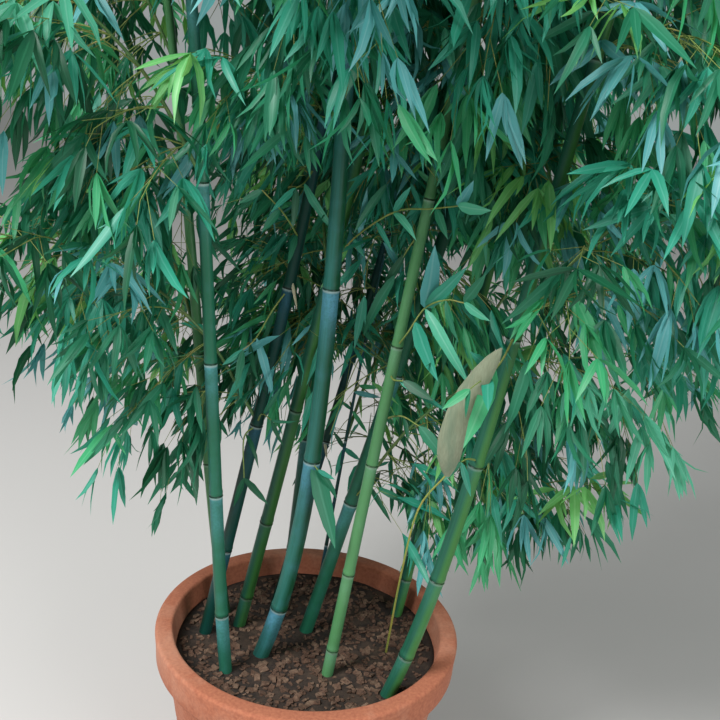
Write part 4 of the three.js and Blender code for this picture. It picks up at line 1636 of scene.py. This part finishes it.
@dataclass
class Foliage:
    """The leafy branches: stems, side twigs, branchlets and leaves, each inside its own branch's reach."""

    clump: Clump
    view: View
    stem_radii: Pair = (3.6, 1.4)
    stem_points: int = 16
    first_node: float = 0.1
    node_spacing: float = 62.0
    fewest_nodes: int = 4
    node_sides: tuple[float, ...] = (-1.0, 1.0, 0.35)
    minor: Shoot = Shoot((-40, 40), (22, 60), (200, 380), 0.45, 16, 14, (2.2, 0.9), 9.0, rooted=6)
    minor_tip_size: float = 0.55
    # A joint this close to the root of a main stem has its branch already
    taken_joint: float = 20.0
    # Low down behind the middle the leaves stand close together: more branches come from each joint there
    low_back: Pair = (100.0, 1150.0)
    low_back_turns: tuple[float, ...] = (0.0, 120.0, 240.0)
    low_back_leafy: float = 0.75
    golden_turn: float = 137.5
    twig: Shoot = Shoot((24, 77), (-45, 42), (110, 260), 0.3, 6, 10, (1.3, 0.7), 9.0)
    twig_tip_size: float = 0.62
    branchlet: Shoot = Shoot((20, 62), (-38, 14), (26, 76), 0.1, 2, 3, (0.7, 0.5), 4.0)
    branchlet_shares: tuple[float, ...] = (0.22, 0.36, 0.5, 0.64, 0.77, 0.89, 1.0)
    seen_radii: Pair = (2.2, 1.1)
    young_radii: Pair = (2.2, 1.4)
    # Turns of a branchlet's leaves, how far they stray, how often each is there, and the outer ones' size
    fan: tuple[float, ...] = (0.0, 30.0, -32.0, 58.0, -60.0)
    fan_stray: float = 9.0
    fan_shares: tuple[float, ...] = (1.0, 1.0, 0.95, 0.7, 0.55)
    outer_leaf_size: float = 0.88
    leaf_lengths: Pair = (62.0, 132.0)
    # Leaves turn from their branchlet's rise towards this one by a share between the two
    leaf_hang: float = -60.0
    hang_shares: Pair = (0.12, 0.8)
    face_rises: Pair = (20.0, 85.0)
    # Where along each blade its room is checked, and how far a blade sags for its droop
    blade_checks: tuple[float, ...] = (0.3, 0.65, 1.0)
    blade_sag: float = 0.6
    # Leaves get smaller over this depth, from just in front of the middle, as the photograph's do
    front_depth: float = 60.0
    back_depth: float = 460.0
    back_leaf_size: float = 0.74
    shapes: tuple[LeafShape, ...] = (
        LeafShape(0.13, 0.10, 16, 8), LeafShape(0.145, 0.22, 22, -14), LeafShape(0.16, 0.32, 12, 18),
        LeafShape(0.125, 0.42, 26, 4), LeafShape(0.15, 0.05, 10, -25), LeafShape(0.2, 0.08, 14, 10),
        LeafShape(0.27, 0.06, 12, 8), LeafShape(0.37, 0.06, 12, 6),
    )
    # The wider shapes after these are kept for the leaves that stand out in the photograph
    common_shapes: int = 5
    seen_stray: float = 0.25
    # The share of each tint, in the order of the leaf skins, and of branchlets with another than their
    # twig's. The darker tints behind are painted shade inside the clump, and the fresh ones there are painted
    # flecks of light
    front_shares: tuple[float, ...] = (0.13, 0.25, 0.26, 0.2, 0.08, 0.06, 0.02)
    back_shares: tuple[float, ...] = (0.2, 0.24, 0.17, 0.18, 0.06, 0.13, 0.02)
    lit_shares: tuple[float, ...] = (0.1, 0.14, 0.14, 0.24, 0.05, 0.3, 0.03)
    changed_share: float = 0.25
    # Behind and to the right of here the leaves are dealt lighter tints: painted light from beyond the clump
    lit_from: Pair = (90.0, 240.0)
    largest_piece: int = 12000
    seed: int = 2

    def __post_init__(self) -> None:
        """Starts the seed and takes the room that the CAD model gives."""
        self.random = np.random.default_rng(self.seed)
        self.every_shape = self.shapes + tuple(shape.plain() for shape in self.shapes)
        boxes = [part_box(name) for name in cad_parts]
        self.low = np.min([low for low, _ in boxes], axis=0) / MM
        self.high = np.max([high for _, high in boxes], axis=0) / MM

    def behind(self, places: Array) -> Array:
        """How far back each place lies, from 0 in front to 1, in one column."""
        return np.clip((places[:, 1:2] + self.front_depth) / self.back_depth, 0, 1)

    def clear(self, probes: Array, owners: Array | int, margin: float) -> Array:
        """Finds the places that lie in their branch's own space, by the source's rule, and hide no cane.

        Args:
            probes: places in mm, along the last axis.
            owners: each place's branch among the stems, or -1 for a branch that only keeps to the reach.
            margin: how far off the canes they keep.

        Returns:
            True for each place that does.
        """
        flat, mine = probes.reshape(-1, 3), np.broadcast_to(owners, probes.shape[:-1]).ravel()
        away = self.clump.stem_distances(flat)
        rows = np.arange(len(flat))
        own = np.where(mine < 0, away.min(1), away[rows, mine])
        away[rows, mine] = np.inf
        others = np.where(mine < 0, np.inf, away.min(1))
        kept = (own <= self.clump.reach) & (others >= own + self.clump.between_branches)
        kept &= (flat[:, 2] > self.clump.lowest_leaf) & ((flat > self.low) & (flat < self.high)).all(1)
        kept &= self.clump.clear_of_every_cane(flat, margin) & ~self.view.hides_canes(flat)
        return kept.reshape(probes.shape[:-1])

    def grow(
        self, kind: Shoot, roots: Array, headings: Array, rises: Array | float = 0.0,
        sides: Array | float = 1.0, sizes: Array | float = 1.0, owners: Array | int = -1,
    ) -> tuple[Array, Array]:
        """Grows one shoot from each root, turned until it is clear.

        Args:
            kind: how the shoots grow.
            roots: where they start.
            headings: headings that they grow away from.
            rises: rises that they grow away from.
            sides: which way, and how much of the spread, each one turns.
            sizes: each one's length beside the others.
            owners: each one's branch among the stems, or -1.

        Returns:
            The lines of those that found room, and which they are.
        """
        shape = (kind.tries, len(roots))
        turn = headings + sides * self.random.uniform(*kind.spread, shape)
        lift = rises + self.random.uniform(*kind.lift, shape)
        lines = kind.lines(roots, turn, lift, sizes * self.random.uniform(*kind.length, shape))
        mine = np.reshape(owners, (-1, 1))
        clear = self.clear(lines[:, :, kind.rooted :], mine, kind.clear_of_canes).all(-1)
        which = np.flatnonzero(clear.any(0))
        return lines[clear.argmax(0)[which], which], which

    def minor_stems(self) -> Array:
        """Grows thinner branches from the joints between, above the first leafy joint of each cane.

        Returns:
            Their lines.
        """
        found = []
        used = [stem.path.points[0] for stem in self.clump.stems]
        for cane in self.clump.canes:
            for order, joint in enumerate(cane.joints()):
                root = self.clump.paths[cane.name].at((joint + self.clump.root_offset) / cane.length)[0]
                low = root[1] > self.low_back[0] and root[2] < self.low_back[1]
                lowest = cane.leafy * (self.low_back_leafy if low else 1.0)
                if joint < lowest or min(np.linalg.norm(root - place) for place in used) < self.taken_joint:
                    continue
                size = mix(1.0, self.minor_tip_size, joint / cane.length)
                for turn in self.low_back_turns if low else (0.0,):
                    found.append((root, cane.faces + self.golden_turn * order + turn, size))
        roots, headings, sizes = (np.array(column) for column in zip(*found))
        return self.grow(self.minor, roots, headings, sizes=sizes)[0]

    def twigs(self, stems: Array, owners: Array) -> Array:
        """Grows the twigs of every stem: a few from each node, to either side.

        Args:
            stems: the stems' lines.
            owners: each stem's number, or -1.

        Returns:
            The twigs' lines.
        """
        rows = []
        for line, owner in zip(stems, owners):
            length = np.linalg.norm(np.diff(line, axis=0), axis=1).sum()
            count = max(self.fewest_nodes, round(length / self.node_spacing))
            shares = np.linspace(self.first_node, 1.0, count)
            place, way = places_along(line[None], shares)
            turned, size = np.where(np.arange(count) % 2, -1, 1), mix(1.0, self.twig_tip_size, shares)
            for side in self.node_sides:
                rows.append((place[0], way[0], side * turned, size, np.full(count, owner)))
        roots, ways, sides, sizes, mine = (np.concatenate(column) for column in zip(*rows))
        return self.grow(self.twig, roots, bearings(ways)[0], 0.0, sides, sizes, mine)[0]

    def branchlets(self, twigs: Array) -> tuple[Array, Array]:
        """Grows the branchlets of every twig.

        Args:
            twigs: the twigs' lines.

        Returns:
            The branchlets' lines and the numbers of their twigs.
        """
        shares = np.array(self.branchlet_shares)
        roots, ways = places_along(twigs, shares)
        sides = np.tile(np.where(np.arange(len(shares)) % 2, 1.0, -1.0) * (shares < 1), len(twigs))
        bearing = bearings(ways.reshape(-1, 3))
        lines, which = self.grow(self.branchlet, roots.reshape(-1, 3), *bearing, sides)
        return lines, which // len(shares)

    def spray_tints(self, places: Array) -> Array:
        """Deals a colour to each spray: lighter and bluer in front, darker with bright flecks behind, that is
        painted shade inside the clump with painted flecks of light, and lighter where painted light falls
        from beyond the clump.

        Args:
            places: the sprays' ends in mm.

        Returns:
            The number of each one's leaf skin.
        """
        odds = mix(np.array(self.front_shares), np.array(self.back_shares), self.behind(places))
        # Here the leaves get the lighter tints: painted light
        odds[(places[:, :2] > self.lit_from).all(1)] = self.lit_shares
        drawn = self.random.uniform(0, 1, (len(places), 1))
        return (odds.cumsum(1) < drawn).sum(1).clip(0, len(LEAF_SKINS) - 1)

    def fans(self, branchlets: Array, tints: Array) -> Leaves:
        """Grows the leaves at the branchlets' ends, spread to either side and drooping.

        Args:
            branchlets: their lines.
            tints: each one's colour.

        Returns:
            The leaves.
        """
        ends, fan = branchlets[:, -1], np.array(self.fan)
        shape = (len(ends), len(fan))
        heading, rise = (values[:, None] for values in bearings(unit(ends - branchlets[:, -2])))
        present = self.random.uniform(0, 1, shape) < np.array(self.fan_shares)
        turn = heading + fan + self.random.normal(0, self.fan_stray, shape)
        lift = mix(rise, self.leaf_hang, self.random.uniform(*self.hang_shares, shape))
        faces = pointing(self.random.uniform(0, 360, shape), self.random.uniform(*self.face_rises, shape))
        behind = self.behind(ends)
        lengths = self.random.uniform(*self.leaf_lengths, shape) * np.where(fan, self.outer_leaf_size, 1.0)
        lengths *= mix(1.0, self.back_leaf_size, behind)
        shapes = self.random.integers(0, self.common_shapes, shape) + len(self.shapes) * (behind > 0)
        each = (ends, tints, np.arange(len(ends)))
        roots, tints, mine = (np.repeat(values, len(fan), axis=0) for values in each)
        ways, faces = pointing(turn, lift).reshape(-1, 3), faces.reshape(-1, 3)
        leaves = Leaves(roots, ways, faces, lengths.ravel(), shapes.ravel(), tints, mine)
        return leaves.chosen(present.ravel())

    def inside(self, leaves: Leaves) -> Leaves:
        """Drops each leaf whose blade would leave the reach, sink too low, touch a cane or close the view.

        Args:
            leaves: the leaves.

        Returns:
            Those that stay.
        """
        droops = np.array([shape.droop for shape in self.every_shape])[leaves.shapes][:, None]
        shares = np.array(self.blade_checks)
        sags = np.array([0, 0, self.blade_sag]) * (droops * shares**2)[..., None]
        blades = unit(leaves.ways)[:, None] * shares[:, None] - sags
        probes = leaves.roots[:, None] + blades * leaves.lengths[:, None, None]
        kept = self.clear(probes, -1, self.branchlet.clear_of_canes).all(-1)
        kept &= self.random.uniform(0, 1, len(kept)) < self.view.leafiness(probes[:, 1])
        return leaves.chosen(kept)

    def seen_leaves(self, lines: list[Array]) -> Leaves:
        """Places the leaves that stand out in the photograph, turned to face the camera.

        Args:
            lines: the twigs that they grow on, in the same order as the sprays.

        Returns:
            The leaves.
        """
        seen = [(Path(line), leaf) for line, spray in zip(lines, SEEN_SPRAYS) for leaf in spray.leaves]
        roots = np.array([path.at(leaf.share)[0] for path, leaf in seen])
        ways = np.array([self.view.point(leaf.tip, leaf.depth) for _, leaf in seen]) - roots
        lengths = np.linalg.norm(ways, axis=1)
        breadths = np.array([leaf.width for _, leaf in seen]) / lengths
        widths = np.array([shape.width for shape in self.shapes])
        faces = unit(self.view.place() - roots) + self.random.normal(0, self.seen_stray, roots.shape)
        tints = np.array([list(Tint).index(leaf.tint) for _, leaf in seen])
        shapes = np.abs(breadths[:, None] - widths).argmin(1)
        return Leaves(roots, ways, faces, lengths, shapes, tints, np.full(len(roots), -1))

    def leaf_shapes(self) -> Collection:
        """Makes the leaf shapes.

        Returns:
            The shapes, outside the scene.
        """
        shapes = bpy.data.collections.new("leaf_shapes")
        for i, shape in enumerate(self.every_shape):
            shapes.objects.link(bpy.data.objects.new(f"leaf_{i:02d}", shape.mesh(f"leaf_{i:02d}")))
        return shapes

    def build(self) -> None:
        """Grows every branch and makes the pieces of each kind and colour."""
        rounded = np.linspace(0, 1, self.stem_points)
        stems = np.array([stem.path.smooth(rounded) for stem in self.clump.stems])
        minor = self.minor_stems()
        owners = np.concatenate([np.arange(len(stems)), np.full(len(minor), -1)])
        twigs = self.twigs(np.concatenate([stems, minor]), owners)
        branchlets, parents = self.branchlets(twigs)
        tints = self.spray_tints(twigs[:, -1])[parents]
        changed = self.random.uniform(0, 1, len(tints)) < self.changed_share
        tints = np.where(changed, self.spray_tints(branchlets[:, -1]), tints)
        leaves = self.inside(self.fans(branchlets, tints))
        leafy = np.unique(leaves.branchlets)
        branchlets, twigs = branchlets[leafy], twigs[np.unique(parents[leafy])]
        seen = [spray.line(self.view, self.clump, self.stem_points) for spray in SEEN_SPRAYS]
        young = YOUNG_SHOOT.line(self.view, self.clump, self.stem_points)
        nodes = [stem.name for stem in self.clump.stems]
        finishes = {skin: skin.material() for skin in (BRANCH_SKIN, TWIG_SKIN, YOUNG_SKIN)}
        for name, strands, sides, skin in (
            ("branches", tapered(stems, self.stem_radii) + tapered(minor, self.minor.radii), 8, BRANCH_SKIN),
            ("twigs", tapered(twigs, self.twig.radii) + tapered(seen, self.seen_radii), 4, TWIG_SKIN),
            ("branchlets", tapered(branchlets, self.branchlet.radii), 3, TWIG_SKIN),
            ("young_shoot", tapered([young], self.young_radii), 10, YOUNG_SKIN),
        ):
            piece = grown(name, strand_mesh(strands), limb_tree(), Sides=sides, Finish=finishes[skin])
            settle(piece, nodes)
        for sheath in SHEATHS:
            sheath.build(self.view, nodes)
        leaves = leaves.joined(self.seen_leaves(seen))
        shapes, turns = self.leaf_shapes(), leaves.turns()
        for number, skin in enumerate(LEAF_SKINS):
            mine, finish = np.flatnonzero(leaves.tints == number), skin.material()
            for part, some in enumerate(np.array_split(mine, len(mine) // self.largest_piece + 1)):
                name = f"leaves_{skin.tint.value}_{part + 1}"
                spots = point_mesh(leaves.roots[some], turns[some], leaves.lengths[some], leaves.shapes[some])
                settle(grown(name, spots, scatter_tree(), Shapes=shapes, Finish=finish), nodes)
        counts = len(owners), len(twigs), len(branchlets), len(leaves.roots)
        LOG.info("%d stems, %d twigs, %d branchlets, %d leaves", *counts)


@dataclass
class Studio:
    """A pale floor, a pale sky and soft lights."""

    floor_size: float = 60.0
    floor_colour: str = "#c3c0be"
    floor_roughness: float = 0.9
    sky_colour: str = "#dfe6e4"
    sky_strength: float = 0.42
    key_place: tuple[float, float, float] = (-3.6, -2.8, 5.6)
    key_size: float = 3.0
    key_power: float = 640.0
    fill_place: tuple[float, float, float] = (3.4, -3.6, 2.6)
    fill_size: float = 3.0
    fill_power: float = 150.0
    aim: tuple[float, float, float] = (0.0, 0.0, 1.4)

    def build(self) -> None:
        """Makes the floor, the sky and the lights."""
        half = self.floor_size / 2 / MM
        corners = np.array([(-half, -half, 0), (half, -half, 0), (half, half, 0), (-half, half, 0)])
        mesh = face_mesh("studio_floor", corners, [(0, 1, 2, 3)], smooth=False)
        mesh.materials.append(self.floor_material())
        floor = placed_piece("studio_floor", mesh)
        sky = bpy.data.worlds.new("studio_sky")
        sky.use_nodes = True
        background = sky.node_tree.nodes["Background"]
        background.inputs["Color"].default_value = linear(self.sky_colour)
        background.inputs["Strength"].default_value = self.sky_strength
        bpy.context.scene.world = sky
        self.add_light("key_light", self.key_place, self.key_size, self.key_power)
        self.add_light("fill_light", self.fill_place, self.fill_size, self.fill_power)
        bpy.context.scene.view_settings.view_transform = "Standard"

    def add_light(self, name: str, place: tuple[float, float, float], size: float, power: float) -> None:
        """Makes a round soft light that points at the middle of the plant.

        Args:
            name: its name.
            place: where it hangs, in metres.
            size: how wide it is, in metres.
            power: its power in watts.
        """
        data = bpy.data.lights.new(name, "AREA")
        data.shape, data.size, data.energy = "DISK", size, power
        lamp = bpy.data.objects.new(name, data)
        lamp.location = place
        lamp.rotation_euler = (Vector(self.aim) - Vector(place)).to_track_quat("-Z", "Y").to_euler()
        bpy.context.scene.collection.objects.link(lamp)

    def floor_material(self) -> Material:
        """Makes the floor's matt paint, one pale colour.

        Returns:
            The material.
        """
        made, tree = blank_material("pale_floor")
        paint = {"Base Color": linear(self.floor_colour), "Roughness": self.floor_roughness}
        paint = add_node(tree, "ShaderNodeBsdfPrincipled", paint)
        add_node(tree, "ShaderNodeOutputMaterial", {"Surface": paint})
        return made


def main() -> None:
    """Builds the plant, the studio and the camera, in order."""
    logging.basicConfig(level=logging.INFO, format="%(message)s")
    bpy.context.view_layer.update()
    view = View()
    view.build()
    Studio().build()
    clump = Clump()
    Tub().build()
    Soil().build(clump)
    CaneSurface().build(clump)
    Foliage(clump, view).build()


if __name__ == "__main__":
    main()
